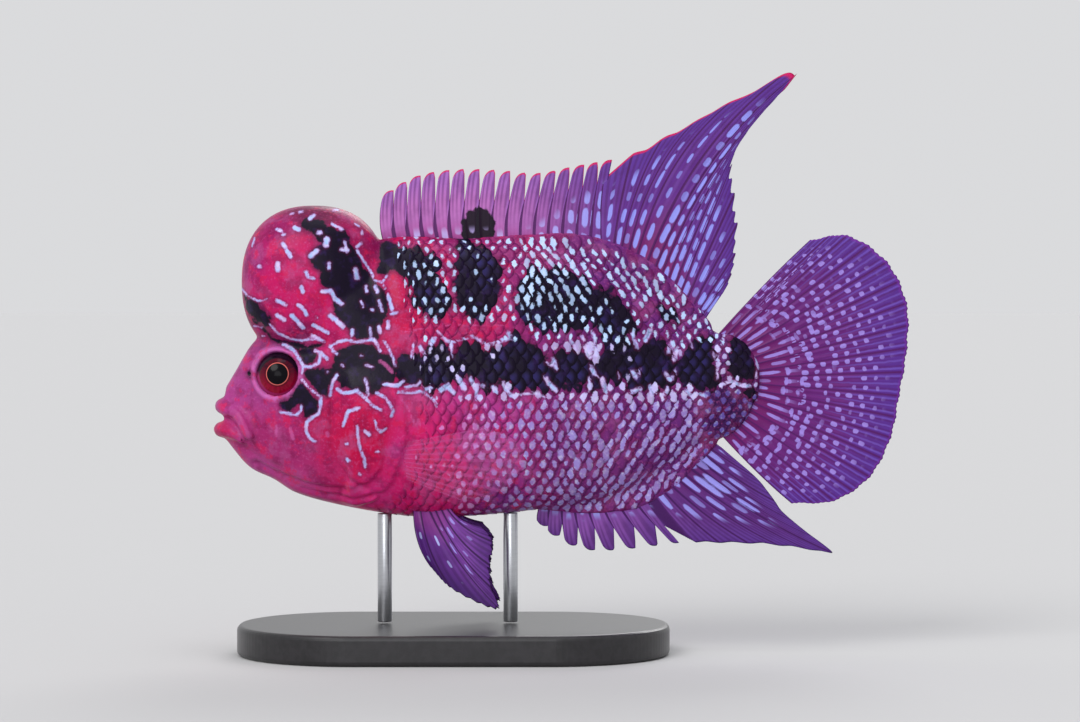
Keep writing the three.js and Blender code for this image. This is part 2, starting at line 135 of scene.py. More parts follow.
def shapedGrid(across, up, place, keep=None):
    bm = bmesh.new()
    bmesh.ops.create_grid(bm, x_segments=across, y_segments=up, size=0.5)
    layer = bm.verts.layers.float_vector.new(keep) if keep else None
    for v in bm.verts:
        spot, notes = place(v.co.x + 0.5, v.co.y + 0.5)
        if layer:
            v[layer] = notes
        v.co = spot
    bmesh.ops.remove_doubles(bm, verts=bm.verts, dist=1e-4)
    bmesh.ops.dissolve_degenerate(bm, edges=bm.edges, dist=1e-5)
    bmesh.ops.recalc_face_normals(bm, faces=bm.faces)
    return bm


def setAttribute(mesh, name, kind, values):
    attribute = mesh.attributes.get(name) or mesh.attributes.new(name, kind, "POINT")
    field = {"FLOAT": "value", "FLOAT_VECTOR": "vector", "FLOAT_COLOR": "color"}[kind]
    attribute.data.foreach_set(field, np.asarray(values, np.float32).ravel())


def cornersOf(mesh):
    co = np.empty(len(mesh.vertices) * 3, np.float32)
    mesh.vertices.foreach_get("co", co)
    return co.reshape(-1, 3).astype(float)


# Small helpers for curves
def along(pairs, x):
    table = np.array(pairs, float)
    xs, ys = table[:, 0], table[:, 1]
    slopes = np.empty_like(ys)
    slopes[1:-1] = (ys[2:] - ys[:-2]) / (xs[2:] - xs[:-2])
    slopes[0] = (ys[1] - ys[0]) / (xs[1] - xs[0])
    slopes[-1] = (ys[-1] - ys[-2]) / (xs[-1] - xs[-2])
    x = np.clip(x, xs[0], xs[-1])
    i = np.clip(np.searchsorted(xs, x, side="right") - 1, 0, len(xs) - 2)
    span = xs[i + 1] - xs[i]
    t = (x - xs[i]) / span
    rise = t * t * (3 - 2 * t)
    bend = slopes[i] * t * (1 - t) ** 2 - slopes[i + 1] * t * t * (1 - t)
    return ys[i] * (1 - rise) + ys[i + 1] * rise + span * bend


def curvePoint(points, t):
    last = len(points) - 1
    p = t * last
    i = min(int(p), last - 1)
    w = p - i
    p1, p2 = points[i], points[i + 1]
    p0 = points[i - 1] if i > 0 else p1 * 2 - p2
    p3 = points[i + 2] if i + 2 <= last else p2 * 2 - p1
    d0, d1, d2 = (max((a - b).length ** 0.5, 1e-4) for a, b in ((p0, p1), (p1, p2), (p2, p3)))
    m1 = ((p1 - p0) / d0 - (p2 - p0) / (d0 + d1) + (p2 - p1) / d1) * d1
    m2 = ((p2 - p1) / d1 - (p3 - p1) / (d1 + d2) + (p3 - p2) / d2) * d1
    ease, square = w * w * (3 - 2 * w), w * w
    return p1 * (1 - ease) + p2 * ease + m1 * (w * (1 - w) ** 2) - m2 * (square * (1 - w))


def inSide(pairs):
    return [Vector((x, 0, z)) for x, z in pairs]


# A place written for the fish's +Y side, on either side
def sided(spot, side):
    return Vector((spot[0], side * spot[1], spot[2]))


def smoothStep(low, high, value):
    t = np.clip((value - low) / (high - low), 0, 1)
    return t * t * (3 - 2 * t)


def distanceToLine(x, z, line):
    best = np.full(np.shape(x), 1e9)
    for (ax, az), (bx, bz) in zip(line[:-1], line[1:]):
        dx, dz = bx - ax, bz - az
        t = np.clip(((x - ax) * dx + (z - az) * dz) / (dx * dx + dz * dz + 1e-9), 0, 1)
        best = np.minimum(best, np.hypot(x - ax - t * dx, z - az - t * dz))
    return best


# Less than zero inside the outline
def distanceToPatch(x, z, outline):
    ring = outline + outline[:1]
    inside = np.zeros(np.shape(x), bool)
    for (ax, az), (bx, bz) in zip(ring[:-1], ring[1:]):
        crosses = (az > z) != (bz > z)
        run = ax + (z - az) * (bx - ax) / ((bz - az) or 1e-9)
        inside ^= crosses & (x < run)
    away = distanceToLine(x, z, ring)
    return np.where(inside, -away, away)


# Body
body = {
    "start": -56.0, "end": 33.0,
    "back": [
        (-56, 44.4), (-54.2, 47.4), (-51.5, 51.8), (-43.6, 58.6), (-36.5, 65.2), (-30, 69.1), (-18.6, 69.3),
        (-6.9, 68.4), (3.1, 66.1), (13.1, 61.3), (21, 55.4), (25, 53.7), (28.5, 53.2), (31, 51.5), (33, 48.3),
    ],
    "belly": [
        (-56, 35.8), (-52.1, 31.2), (-47.9, 29.1), (-44.4, 26.9), (-36.9, 24.8), (-27.8, 23.2), (-21.9, 22.8),
        (-13.6, 23.1), (-2.6, 24.2), (4.8, 25.4), (11.4, 27.8), (17.2, 31.4), (22.6, 35), (27, 36),
        (30.5, 38.6), (33, 43.6),
    ],
    "halfWidth": [
        (-56, 2.6), (-54, 4.1), (-50, 6), (-46, 7.4), (-40, 9), (-34, 9.9), (-28, 10.2), (-20, 9.9), (-10, 9),
        (0, 7.5), (10, 5.8), (18, 4.2), (25, 2.9), (30, 2), (33, 1.1),
    ],
    "widest": [(-56, 0.45), (-30, 0.42), (0, 0.44), (33, 0.5)],
    "flatAbove": 1.1, "fullBelow": 0.92, "rings": 120, "sides": 64,
}
hump = {"x": -41.2, "z": 61.9, "long": 12.1, "wide": 8.7, "high": 12.8, "squareness": 2.35}
nape = {"x": -34.2, "z": 54.2, "long": 9.6, "wide": 9.0, "high": 10.2, "squareness": 2.2}  # behind the hump


# A shell's first and last rings close on their middles
def atEnd(v):
    return v <= 1e-6 or v >= 1 - 1e-6


def pastCap(v, cap):
    return min(max((v - cap) / (1 - 2 * cap), 0), 1)


def bodyPoint(x, turn):
    top, bottom = along(body["back"], x), along(body["belly"], x)
    width = along(body["halfWidth"], x)
    middle = bottom + (top - bottom) * along(body["widest"], x)
    up, out = np.sin(turn), np.cos(turn)
    out = np.sign(out) * np.abs(out) ** np.where(up > 0, body["flatAbove"], body["fullBelow"])
    return x, width * out, middle + up * np.where(up > 0, top - middle, middle - bottom)


def bodyShell():
    def place(u, v):
        x = body["start"] + (body["end"] - body["start"]) * pastCap(v, 0.01)
        if atEnd(v):
            return (x, 0, float(along(body["back"], x) + along(body["belly"], x)) / 2), None
        return tuple(float(c) for c in bodyPoint(x, 2 * math.pi * u)), None

    return shapedGrid(body["sides"], body["rings"], place)


def ballShell(ball):
    bm = bmesh.new()
    bmesh.ops.create_uvsphere(bm, u_segments=48, v_segments=32, radius=1)
    power = 2 / ball["squareness"]
    for v in bm.verts:
        level = math.hypot(v.co.x, v.co.y) or 1e-9
        out = level ** power
        ahead = math.copysign(abs(v.co.x / level) ** power, v.co.x)
        height = math.copysign(abs(v.co.z) ** power, v.co.z)
        v.co = (
            ball["x"] + ball["long"] * ahead * out, ball["wide"] * v.co.y / level * out,
            ball["z"] + ball["high"] * height,
        )
    return bm


def barShell(points, radii):
    def place(u, v):
        t = pastCap(v, 0.02)
        centre = curvePoint(points, t)
        ahead = (curvePoint(points, min(t + 0.01, 1)) - curvePoint(points, max(t - 0.01, 0))).normalized()
        side = Vector((0, 0, 1)).cross(ahead).normalized()
        if atEnd(v):
            return centre, None
        radius, turn = float(along(radii, t)), 2 * math.pi * u
        return centre + side * radius * math.cos(turn) + ahead.cross(side) * radius * math.sin(turn), None

    return shapedGrid(16, 40, place)


sheath = {  # scaly skin that climbs on to the fins: place along the fish, then its height
    "back": [(-16, 0), (-10, 1), (-4, 2.2), (3, 4), (11, 5.4), (18, 5.4), (22, 4), (25, 1.4)],
    "belly": [(-4, 0), (0, 1), (8, 3), (14, 4.7), (20, 4.8), (24, 2.8), (26, 0.8)],
    "half": 0.62, "sunk": 2.0, "squareness": 0.7,
}


def sheathShell(edge, way):
    first, last = sheath[edge][0][0], sheath[edge][-1][0]

    def place(u, v):
        x = first + (last - first) * pastCap(v, 0.02)
        high = float(along(sheath[edge], x)) + sheath["sunk"]
        root = float(along(body[edge], x)) - way * sheath["sunk"]
        if atEnd(v):
            return (x, 0, root + way * high / 2), None
        turn = 2 * math.pi * u
        upright = math.copysign(abs(math.sin(turn)) ** sheath["squareness"], math.sin(turn))
        return (x, sheath["half"] * math.cos(turn), root + way * high / 2 * (1 + upright)), None

    return shapedGrid(20, 60, place)


def bothSides(half):
    right = [Vector(p) for p in half[1:]]
    left = [Vector((p.x, -p.y, p.z)) for p in reversed(right)]
    return left + [Vector(half[0])] + right


mouth = {
    "upperLip": [(-56.5, 0, 41.3), (-55.6, 2.5, 40.9), (-53.7, 4.2, 39.3), (-51.9, 5.2, 37.4)],
    "lowerLip": [(-56.7, 0, 37.4), (-55.6, 2.5, 37.3), (-53.8, 4.0, 36.7), (-52.4, 4.9, 35.6)],
    "jawFold": [(-54.6, 3.9, 41.4), (-53.2, 5.0, 39.9), (-52.0, 5.9, 37.6), (-51.1, 6.4, 35.8)],
    "lipRadii": [(0, 0.7), (0.5, 1.35), (1, 0.7)],
    "foldRadii": [(0, 0.5), (0.4, 1.05), (0.8, 0.9), (1, 0.4)],
}


orbit = {
    "x": -46.85, "y": 6.15, "z": 46.8, "radius": 4.05, "thick": 0.66, "turnForward": 0.2, "turnUp": 0.13,
}


def orbitRing(side):
    def place(u, v):
        a, b = 2 * math.pi * u, 2 * math.pi * v
        reach = orbit["radius"] + orbit["thick"] * math.cos(b)
        spot = Vector((reach * math.cos(a), orbit["thick"] * math.sin(b), reach * math.sin(a)))
        return turnOf(orbit, side) @ spot + middleOf(orbit, side), None

    return shapedGrid(40, 12, place)


def turnOf(thing, side):
    up = Matrix.Rotation(side * thing["turnUp"], 3, "X")
    return up @ Matrix.Rotation(side * thing["turnForward"], 3, "Z")


def middleOf(thing, side):
    return sided((thing["x"], thing["y"], thing["z"]), side)


def joinShells(shells):
    whole = bmesh.new()
    for shell in shells:
        part = bpy.data.meshes.new("part")
        shell.to_mesh(part)
        shell.free()
        whole.from_mesh(part)
        bpy.data.meshes.remove(part)
    return whole


# Lines and edges raised or sunk in the skin, in photo pixels: line, half width and height in millimetres
relief = {
    "grooves": [
        ([(331, 392), (331, 420), (331, 447), (336, 462), (348, 477), (366, 486)], 0.42, -0.5),  # cheek
        ([(255, 463), (272, 472), (287, 478), (305, 485), (324, 489), (345, 490)], 0.5, -0.6),  # throat
        ([(283, 479), (300, 489), (324, 495), (355, 498), (380, 492)], 0.4, -0.45),
        ([(270, 492), (292, 500), (322, 505), (352, 507)], 0.4, -0.35),
        ([(228, 419), (234, 424), (238, 431), (242, 440)], 0.32, -0.5),  # corner of the mouth
        ([(231, 402), (241, 409), (248, 420), (253, 432)], 0.4, -0.28),  # behind the jaw fold
        ([(214, 417), (222, 417), (230, 419)], 0.4, -0.55),  # between the lips
        ([(257, 326), (268, 336), (284, 343), (300, 347), (316, 346), (330, 341)], 0.8, -0.45),  # hump's foot
        ([(381, 236), (384, 255), (388, 280), (392, 300)], 0.8, -0.3),  # behind the hump
        ([(243, 345), (252, 341), (262, 343)], 0.5, -0.2),
        ([(236, 437), (246, 449), (262, 460), (280, 468)], 0.5, -0.22),  # along the lower jaw
    ],
    "coverPlate": [
        (333, 402), (334, 380), (346, 362), (366, 356), (383, 358), (396, 368), (399, 386), (396, 405),
        (390, 420), (382, 434), (384, 451), (382, 466), (370, 480), (352, 486), (338, 474), (332, 450),
    ],
    "coverSkin": [
        (340, 400), (345, 372), (368, 352), (386, 356), (402, 372), (405, 398), (407, 420), (407, 441),
        (400, 463), (393, 481), (375, 500), (350, 508), (338, 500), (348, 480),
    ],
    "coverHeight": 0.42, "skinHeight": 0.6, "coverStep": (0.22, -0.5),
    "coverFront": (334, 356), "coverTop": (362, 392),  # here it comes to lie flush with the cheek
    "nostril": (249, 374), "nostrilDepth": 0.7, "nostrilWidth": 0.42,
    "facing": (0.2, 0.7),  # only what faces sideways is shaped
}
socket = {"radius": 3.55, "deep": 1.8, "edge": (0.25, -0.35), "reach": 0.6}
skinMake = {"voxel": 0.36, "soften": 5, "blend": 55, "step": 0.5}
crease = {"x": (318, 394), "y": (298, 353)}  # where the hump runs into the nape, in photo pixels


def buildSkin():
    shells = [bodyShell(), ballShell(hump), ballShell(nape), sheathShell("back", 1), sheathShell("belly", -1)]
    shells.append(barShell(bothSides(mouth["upperLip"]), mouth["lipRadii"]))
    shells.append(barShell(bothSides(mouth["lowerLip"]), mouth["lipRadii"]))
    for side in (-1, 1):
        shells.append(barShell([sided(spot, side) for spot in mouth["jawFold"]], mouth["foldRadii"]))
        shells.append(orbitRing(side))
    piece = newObject("skin", joinShells(shells), skinMaterial(), scale=1)
    shrink = piece.modifiers.new("join", "REMESH")
    shrink.mode, shrink.voxel_size, shrink.use_smooth_shade = "VOXEL", skinMake["voxel"], True
    depsgraph = bpy.context.evaluated_depsgraph_get()
    joined = bpy.data.meshes.new_from_object(piece.evaluated_get(depsgraph))
    joined.materials.clear()
    joined.materials.append(bpy.data.materials["wetSkin"])
    piece.modifiers.clear()
    bm = bmesh.new()
    bm.from_mesh(joined)
    soften(bm, bm.verts, skinMake["soften"], True)
    foldVerts = [v for v in bm.verts if inCrease(*toPhoto(v.co.x, v.co.z, v.co.y))]
    soften(bm, foldVerts, skinMake["blend"], False)
    bm.to_mesh(joined)
    bm.free()
    piece.data = joined
    shapeRelief(joined)
    return piece


# Every way, or only across the fish, which leaves its outline as it is
def soften(bm, verts, rounds, everyWay):
    for _ in range(rounds):
        bmesh.ops.smooth_vert(
            bm, verts=verts, factor=skinMake["step"],
            use_axis_x=everyWay, use_axis_y=True, use_axis_z=everyWay,
        )


def inCrease(px, py):
    return crease["x"][0] < px < crease["x"][1] and crease["y"][0] < py < crease["y"][1]


def shapeRelief(mesh):
    place = cornersOf(mesh)
    lean = np.empty(len(mesh.vertices) * 3, np.float32)
    mesh.vertices.foreach_get("normal", lean)
    lean = lean.reshape(-1, 3).astype(float)
    px, py = toPhoto(place[:, 0], place[:, 2], place[:, 1])
    rise = np.zeros(len(px))
    nostril = np.hypot(px - relief["nostril"][0], py - relief["nostril"][1]) / photo["pixelsPerMm"]
    rise -= relief["nostrilDepth"] * np.exp(-((nostril / relief["nostrilWidth"]) ** 2))
    for line, width, height in relief["grooves"]:
        away = distanceToLine(px, py, line) / photo["pixelsPerMm"]
        rise += height * np.exp(-((away / width) ** 2))
    for outline, height in (("coverPlate", "coverHeight"), ("coverSkin", "skinHeight")):
        away = distanceToPatch(px, py, relief[outline]) / photo["pixelsPerMm"]
        fade = smoothStep(*relief["coverFront"], px) * smoothStep(*relief["coverTop"], py)
        rise += relief[height] * smoothStep(*relief["coverStep"], away) * fade
    onSide = smoothStep(*relief["facing"], np.abs(lean[:, 1]))
    place += lean * (rise * onSide)[:, None]
    for side in (-1, 1):  # the skin gives way to each eye
        turned = np.array(turnOf(orbit, side).inverted())
        local = (place - np.array(middleOf(orbit, side))) @ turned.T
        reach = np.hypot(local[:, 0], local[:, 2])
        near = (place[:, 1] * side > 1.0) & (reach < socket["radius"] + socket["reach"])
        outer, inner = (socket["radius"] + step for step in socket["edge"])
        sunk = socket["deep"] * smoothStep(outer, inner, reach) * near
        inward = np.array(turnOf(orbit, side) @ Vector((0, -side, 0)))
        place += sunk[:, None] * inward
    mesh.vertices.foreach_set("co", place.astype(np.float32).ravel())
    mesh.update()


# Marks and painted shade, in photo pixels. Dark patches are outlines, pale marks are lines with a half width
darkPatches = {
    # The nostril patch is painted shade in the nostril's pit
    "nostril": [(247, 372), (249, 371), (251, 373), (251, 376), (249, 377), (247, 375)],
    "hump": [
        (305, 216), (320, 219), (330, 226), (345, 231), (352, 243), (358, 255), (364, 267), (371, 276),
        (378, 284), (386, 292), (389, 305), (386, 318), (379, 328), (378, 338), (355, 339), (347, 328),
        (335, 313), (334, 298), (322, 283), (319, 270), (311, 261), (309, 252), (321, 243), (312, 232),
        (300, 226),
    ],
    "templeHigh": [(298, 350), (305, 347), (314, 348), (316, 356), (313, 363), (307, 365), (301, 360)],
    "templeLow": [
        (303, 372), (312, 368), (322, 367), (331, 367), (338, 349), (352, 344), (372, 343), (381, 352),
        (390, 356), (397, 366), (394, 380), (384, 384), (374, 393), (364, 392), (354, 388), (343, 387),
        (334, 376), (329, 388), (328, 394), (321, 394), (315, 388), (308, 380),
    ],
    "underEye": [
        (300, 381), (311, 392), (318, 399), (318, 411), (311, 414), (305, 417), (302, 408), (297, 404),
        (291, 411), (281, 408), (279, 401), (291, 396),
    ],
    # Painted shade in the crease under the hump's overhang
    "humpFootShade": [
        (262, 327), (273, 337), (292, 342), (312, 345), (324, 343), (312, 349), (292, 347), (272, 340),
    ],
    # Painted shade under the front of the hump's overhang
    "humpShade": [(245, 296), (258, 304), (270, 318), (272, 328), (256, 322), (246, 308)],
    "bandFront": [
        (396, 357), (404, 352), (415, 357), (425, 348), (434, 339), (442, 343), (450, 349), (458, 346),
        (466, 341), (475, 343), (483, 349), (493, 347), (502, 343), (509, 334), (516, 331), (522, 339),
        (530, 346), (538, 349), (545, 354), (549, 364), (553, 356), (566, 347), (578, 350), (584, 360),
        (597, 357), (600, 336), (611, 322), (620, 332), (628, 341), (635, 350), (650, 339), (660, 340),
        (665, 352), (672, 363), (681, 360), (684, 343), (693, 341), (701, 336), (710, 338), (712, 350),
        (711, 368), (716, 377), (713, 386), (705, 390), (693, 386), (682, 385), (676, 374), (670, 385),
        (660, 396), (655, 384), (641, 388), (628, 395), (622, 382), (613, 387), (605, 380), (597, 387),
        (591, 398), (584, 382), (574, 387), (557, 386), (547, 389), (541, 394), (534, 387), (524, 390),
        (518, 396), (510, 390), (502, 383), (492, 386), (482, 391), (475, 381), (466, 376), (457, 383),
        (447, 383), (438, 386), (431, 392), (418, 386), (408, 382), (398, 384),
    ],
    "tailSpot": [
        (728, 338), (746, 338), (751, 352), (754, 374), (744, 381), (732, 378), (724, 375), (725, 358),
    ],
    "backOne": [
        (380, 243), (392, 243), (403, 248), (418, 248), (430, 255), (438, 260), (441, 267), (434, 272),
        (437, 283), (445, 292), (449, 308), (438, 319), (427, 318), (419, 313), (411, 303), (408, 288),
        (402, 275), (391, 269), (384, 275), (378, 272),
    ],
    "backTwo": [
        (453, 234), (466, 240), (478, 246), (491, 254), (501, 263), (497, 274), (492, 283), (496, 289),
        (492, 300), (485, 312), (477, 322), (467, 321), (462, 308), (454, 302), (450, 287), (453, 274),
        (449, 266), (456, 255),
    ],
    "backThree": [
        (517, 281), (528, 266), (541, 271), (552, 266), (566, 271), (580, 277), (592, 290), (604, 286),
        (618, 300), (632, 316), (640, 332), (622, 334), (600, 331), (590, 322), (578, 326), (570, 332),
        (556, 326), (545, 332), (536, 328), (518, 322), (512, 304),
    ],
    "backRear": [(657, 303), (668, 306), (676, 318), (672, 326), (661, 319), (654, 311)],
    "tailEdge": [(740, 388), (750, 390), (755, 399), (746, 400), (738, 395)],
}
paleLines = {
    "hump": [
        ([(255, 238), (252, 246)], 1.2), ([(277, 229), (281, 230)], 2), ([(283, 234), (284, 234)], 2.3),
        ([(283, 243), (287, 250), (291, 256)], 2.6), ([(278, 263), (278, 269)], 3.4),
        ([(259, 266), (260, 266)], 2.6), ([(295, 227), (299, 229)], 3), ([(299, 212), (303, 211)], 1.3),
        ([(310, 218), (314, 215)], 2.6), ([(333, 210), (338, 210)], 1.3), ([(290, 214), (294, 213)], 1.1),
        ([(332, 223), (342, 229)], 2), ([(355, 224), (359, 226)], 1.3), ([(362, 231), (362, 234)], 1.5),
        ([(319, 232), (320, 232)], 3.2), ([(327, 239), (326, 244)], 4), ([(311, 255), (317, 250)], 3.3),
        ([(345, 241), (347, 251)], 2), ([(341, 249), (348, 250)], 2), ([(329, 263), (329, 267)], 2.4),
        ([(357, 246), (361, 243)], 2.2), ([(355, 269), (357, 277)], 3.2),
        ([(306, 271), (308, 276), (314, 278)], 2.4), ([(301, 286), (303, 291)], 2.6),
        ([(242, 289), (247, 295), (257, 300), (263, 300), (267, 298)], 1.2), ([(277, 300), (286, 304)], 2.4),
        ([(298, 304), (302, 307), (307, 314)], 2.4), ([(277, 314), (284, 319)], 2.8),
        ([(292, 315), (297, 320), (303, 327)], 2.9), ([(322, 291), (331, 290), (335, 298), (342, 303)], 2.8),
        ([(330, 315), (336, 319), (343, 326)], 3.2), ([(352, 329), (352, 334)], 2.5),
        ([(313, 324), (328, 332)], 2.3), ([(366, 286), (367, 291)], 2), ([(361, 300), (363, 306)], 1.7),
        ([(379, 300), (382, 310)], 2), ([(371, 309), (373, 309)], 1.8), ([(388, 294), (392, 308)], 2.4),
        ([(391, 313), (397, 312)], 2), ([(388, 320), (388, 327)], 2.4), ([(379, 326), (380, 331)], 2.8),
        ([(370, 327), (371, 338)], 2), ([(375, 286), (377, 291)], 2.4), ([(383, 284), (385, 288)], 1.5),
        ([(316, 316), (317, 317)], 1.4),
    ],
    "humpRear": [([(357, 250), (361, 256), (366, 264), (371, 271), (374, 279), (382, 282), (387, 275)], 1.5)],
    "contour": [
        ([(270, 324), (278, 333), (290, 338), (302, 340), (314, 338), (322, 340)], 1.6),
        ([(310, 334), (318, 337), (324, 341)], 1.8), ([(254, 326), (262, 327)], 0.9),
        ([(262, 336), (264, 336)], 1.3),
    ],
    "temple": [
        ([(283, 344), (290, 347), (295, 352), (300, 359)], 2.2),
        ([(300, 359), (304, 366), (311, 366), (319, 362), (320, 355)], 2),
        ([(315, 350), (321, 352), (327, 358)], 2.2), ([(303, 366), (302, 373)], 1.6),
        ([(302, 379), (309, 387), (319, 395)], 1.7),
        ([(321, 396), (320, 406), (319, 413), (311, 417), (306, 422), (306, 431), (310, 438), (315, 441)], 2),
        ([(280, 411), (289, 413), (297, 414), (301, 409), (301, 405)], 1.9),
        ([(337, 374), (333, 380), (331, 386), (330, 395)], 2),
    ],
    "bandTop": [
        ([(330, 346), (338, 341), (347, 339), (356, 341), (366, 340), (373, 338), (377, 343), (380, 350)], 2),
        ([(330, 345), (333, 350), (337, 353)], 1.8), ([(384, 340), (390, 350), (393, 356), (395, 365)], 1.8),
        (
            [(437, 330), (442, 336), (448, 341), (455, 340), (463, 338), (472, 335), (480, 339), (486, 344),
             (497, 342)], 2,
        ),
        ([(497, 342), (505, 338), (511, 337), (508, 330)], 2.6), ([(451, 342), (452, 356)], 2),
        ([(431, 342), (434, 338)], 3.6), ([(420, 346), (424, 352)], 2.6), ([(414, 343), (411, 356)], 1.6),
    ],
    "bandBase": [
        ([(337, 388), (343, 392), (352, 391), (357, 389)], 2.4),
        ([(357, 390), (365, 397), (373, 405), (381, 409)], 2.1), ([(365, 378), (367, 385), (368, 393)], 1.9),
        ([(376, 392), (385, 396), (390, 403), (393, 410), (391, 415)], 2.1),
        ([(384, 383), (397, 385), (403, 380)], 2.4), ([(405, 386), (418, 384), (420, 380)], 1.8),
        ([(398, 391), (412, 392), (424, 389), (432, 386)], 1.8), ([(425, 393), (434, 399), (437, 405)], 1.8),
        ([(440, 390), (447, 384), (454, 392)], 3.2), ([(459, 378), (464, 388)], 3.4),
        ([(470, 377), (476, 388), (477, 398)], 2.4), ([(482, 384), (483, 386)], 3),
        ([(493, 386), (496, 391)], 3.2), ([(503, 382), (507, 391), (514, 396)], 2.6),
        ([(514, 396), (524, 393), (534, 392), (545, 396)], 2), ([(545, 376), (550, 384), (556, 390)], 3),
        ([(553, 357), (556, 368)], 2.6), ([(546, 362), (552, 364)], 2.2),
    ],
    "rearBreaks": [
        ([(586, 347), (590, 356)], 3.6), ([(594, 345), (597, 354)], 3), ([(591, 366), (595, 374)], 2.8),
        ([(589, 378), (590, 388)], 2.6), ([(602, 378), (606, 392)], 3), ([(632, 332), (637, 348)], 2.6),
        ([(650, 330), (645, 340)], 3.4), ([(672, 341), (667, 352)], 2.4), ([(677, 348), (674, 360)], 3),
        ([(632, 370), (635, 376)], 2.6), ([(640, 369), (637, 378)], 2), ([(665, 372), (670, 380)], 2.6),
        ([(676, 369), (674, 378)], 1.8), ([(618, 372), (620, 378)], 1.4), ([(570, 338), (576, 350)], 2.4),
        ([(582, 335), (584, 340)], 2.4), ([(592, 331), (594, 338)], 2.4), ([(690, 340), (692, 348)], 1.4),
        ([(631, 392), (640, 388)], 3), ([(650, 386), (652, 394)], 2.6), ([(664, 394), (668, 388)], 3),
        ([(686, 390), (692, 396)], 2.4), ([(700, 394), (708, 396)], 2.4),
    ],
    "tail": [
        ([(724, 336), (720, 350), (718, 364), (717, 378)], 1.9),
        ([(722, 384), (732, 381), (742, 386), (750, 386)], 2.2),
        ([(750, 340), (755, 352), (758, 368), (756, 378)], 1.5), ([(724, 334), (734, 333), (744, 334)], 1.6),
        ([(712, 352), (716, 360)], 1.3),
    ],
    "cover": [
        ([(343, 425), (345, 418), (348, 410), (359, 407)], 2.2), ([(365, 430), (369, 434)], 2.6),
        ([(357, 425), (358, 436), (360, 448), (364, 458), (365, 466)], 2),
        ([(375, 420), (377, 427), (381, 431), (386, 427)], 1.7), ([(346, 443), (347, 443)], 2),
        ([(347, 458), (348, 460)], 2.4), ([(359, 473), (360, 474)], 1.8), ([(377, 451), (378, 451)], 2),
        ([(342, 364), (343, 365)], 1.9), ([(361, 354), (362, 355)], 1.5), ([(366, 364), (372, 366)], 1.7),
        ([(327, 371), (328, 371)], 1.3),
    ],
}
lineShare = 0.84  # of the half widths above
faintLines = [  # thin pink or lilac traces, weaker than the marks above
    ([(290, 428), (293, 438)], 1.8), ([(276, 425), (276, 435)], 1.2), ([(327, 432), (328, 435)], 2),
    ([(405, 331), (425, 327), (450, 324), (480, 324), (515, 326)], 0.7),
    ([(380, 360), (386, 364), (392, 371)], 2), ([(401, 397), (405, 403), (409, 410)], 0.9),
    ([(411, 415), (415, 424)], 0.9), ([(417, 418), (421, 425)], 0.8),
]
zones = [  # broad areas: photo place, reach in pixels, colour on screen (0 to 255)
    # Painted shade: the zone at (246, 262) darkens the hump's front edge, and those at (258, 312) and (300,
    # 330) darken the crease under the hump
    ((296, 280), 44, (190, 20, 94)), ((246, 262), 22, (146, 30, 104)), ((312, 208), 24, (96, 12, 60)),
    ((278, 230), 16, (140, 18, 88)), ((374, 240), 16, (142, 12, 78)), ((258, 312), 12, (92, 16, 70)),
    ((300, 330), 12, (122, 16, 78)), ((252, 378), 28, (156, 56, 126)), ((270, 352), 12, (118, 42, 104)),
    ((226, 398), 16, (162, 54, 128)), ((240, 425), 16, (172, 54, 122)), ((224, 429), 10, (174, 26, 86)),
    ((280, 440), 28, (158, 36, 102)), ((262, 466), 14, (172, 62, 134)), ((318, 425), 18, (172, 20, 80)),
    ((300, 490), 20, (180, 54, 124)), ((335, 470), 16, (182, 32, 98)), ((362, 440), 26, (186, 0, 64)),
    ((398, 452), 12, (192, 48, 126)), ((372, 497), 16, (206, 42, 120)), ((432, 465), 36, (210, 24, 104)),
    ((406, 405), 16, (198, 38, 108)), ((398, 300), 28, (180, 10, 74)), ((460, 330), 24, (174, 16, 86)),
    ((500, 250), 34, (136, 36, 104)), ((620, 300), 44, (98, 34, 112)), ((490, 440), 38, (170, 52, 136)),
    ((580, 450), 44, (112, 40, 114)), ((660, 440), 38, (100, 36, 114)), ((500, 508), 24, (120, 42, 124)),
    ((720, 410), 22, (54, 18, 78)), ((715, 350), 14, (90, 44, 112)),
]


def onScreen(colour):
    value = np.asarray(colour, float) / 255
    return np.where(value <= 0.04045, value / 12.92, ((value + 0.055) / 1.055) ** 2.4)


def zoneColour(px, py):
    total, weight = np.zeros((len(px), 3)), np.zeros(len(px))
    for (cx, cy), reach, colour in zones:
        share = 1 / (0.04 + (np.hypot(px - cx, py - cy) / reach) ** 4)
        total += share[:, None] * onScreen(colour)
        weight += share
    return total / weight[:, None]


def darkness(px, py):
    away = np.full(len(px), 1e9)
    for outline in darkPatches.values():
        away = np.minimum(away, distanceToPatch(px, py, outline))
    return away / photo["pixelsPerMm"]


def paleness(px, py, lines):
    away = np.full(len(px), 1e9)
    for line, half in lines:
        away = np.minimum(away, distanceToLine(px, py, line) - half * lineShare)
    return away / photo["pixelsPerMm"]


# What skin and scales both carry, each point at its own distance from the marks
def markDistances(mesh, px, py, dark):
    pale = paleness(px, py, [line for group in paleLines.values() for line in group])
    faint = paleness(px, py, faintLines)
    for name, away in (("dark", dark), ("pale", pale), ("faint", faint)):
        setAttribute(mesh, name, "FLOAT", np.clip(away, -3, 3))


eyeRing = {
    "x": 277, "y": 372.6, "wide": 24.2, "high": 26.5, "inner": (0.76, 0.86), "outer": (1.14, 1.02),
    "share": 0.75, "tint": (204, 108, 184),
}


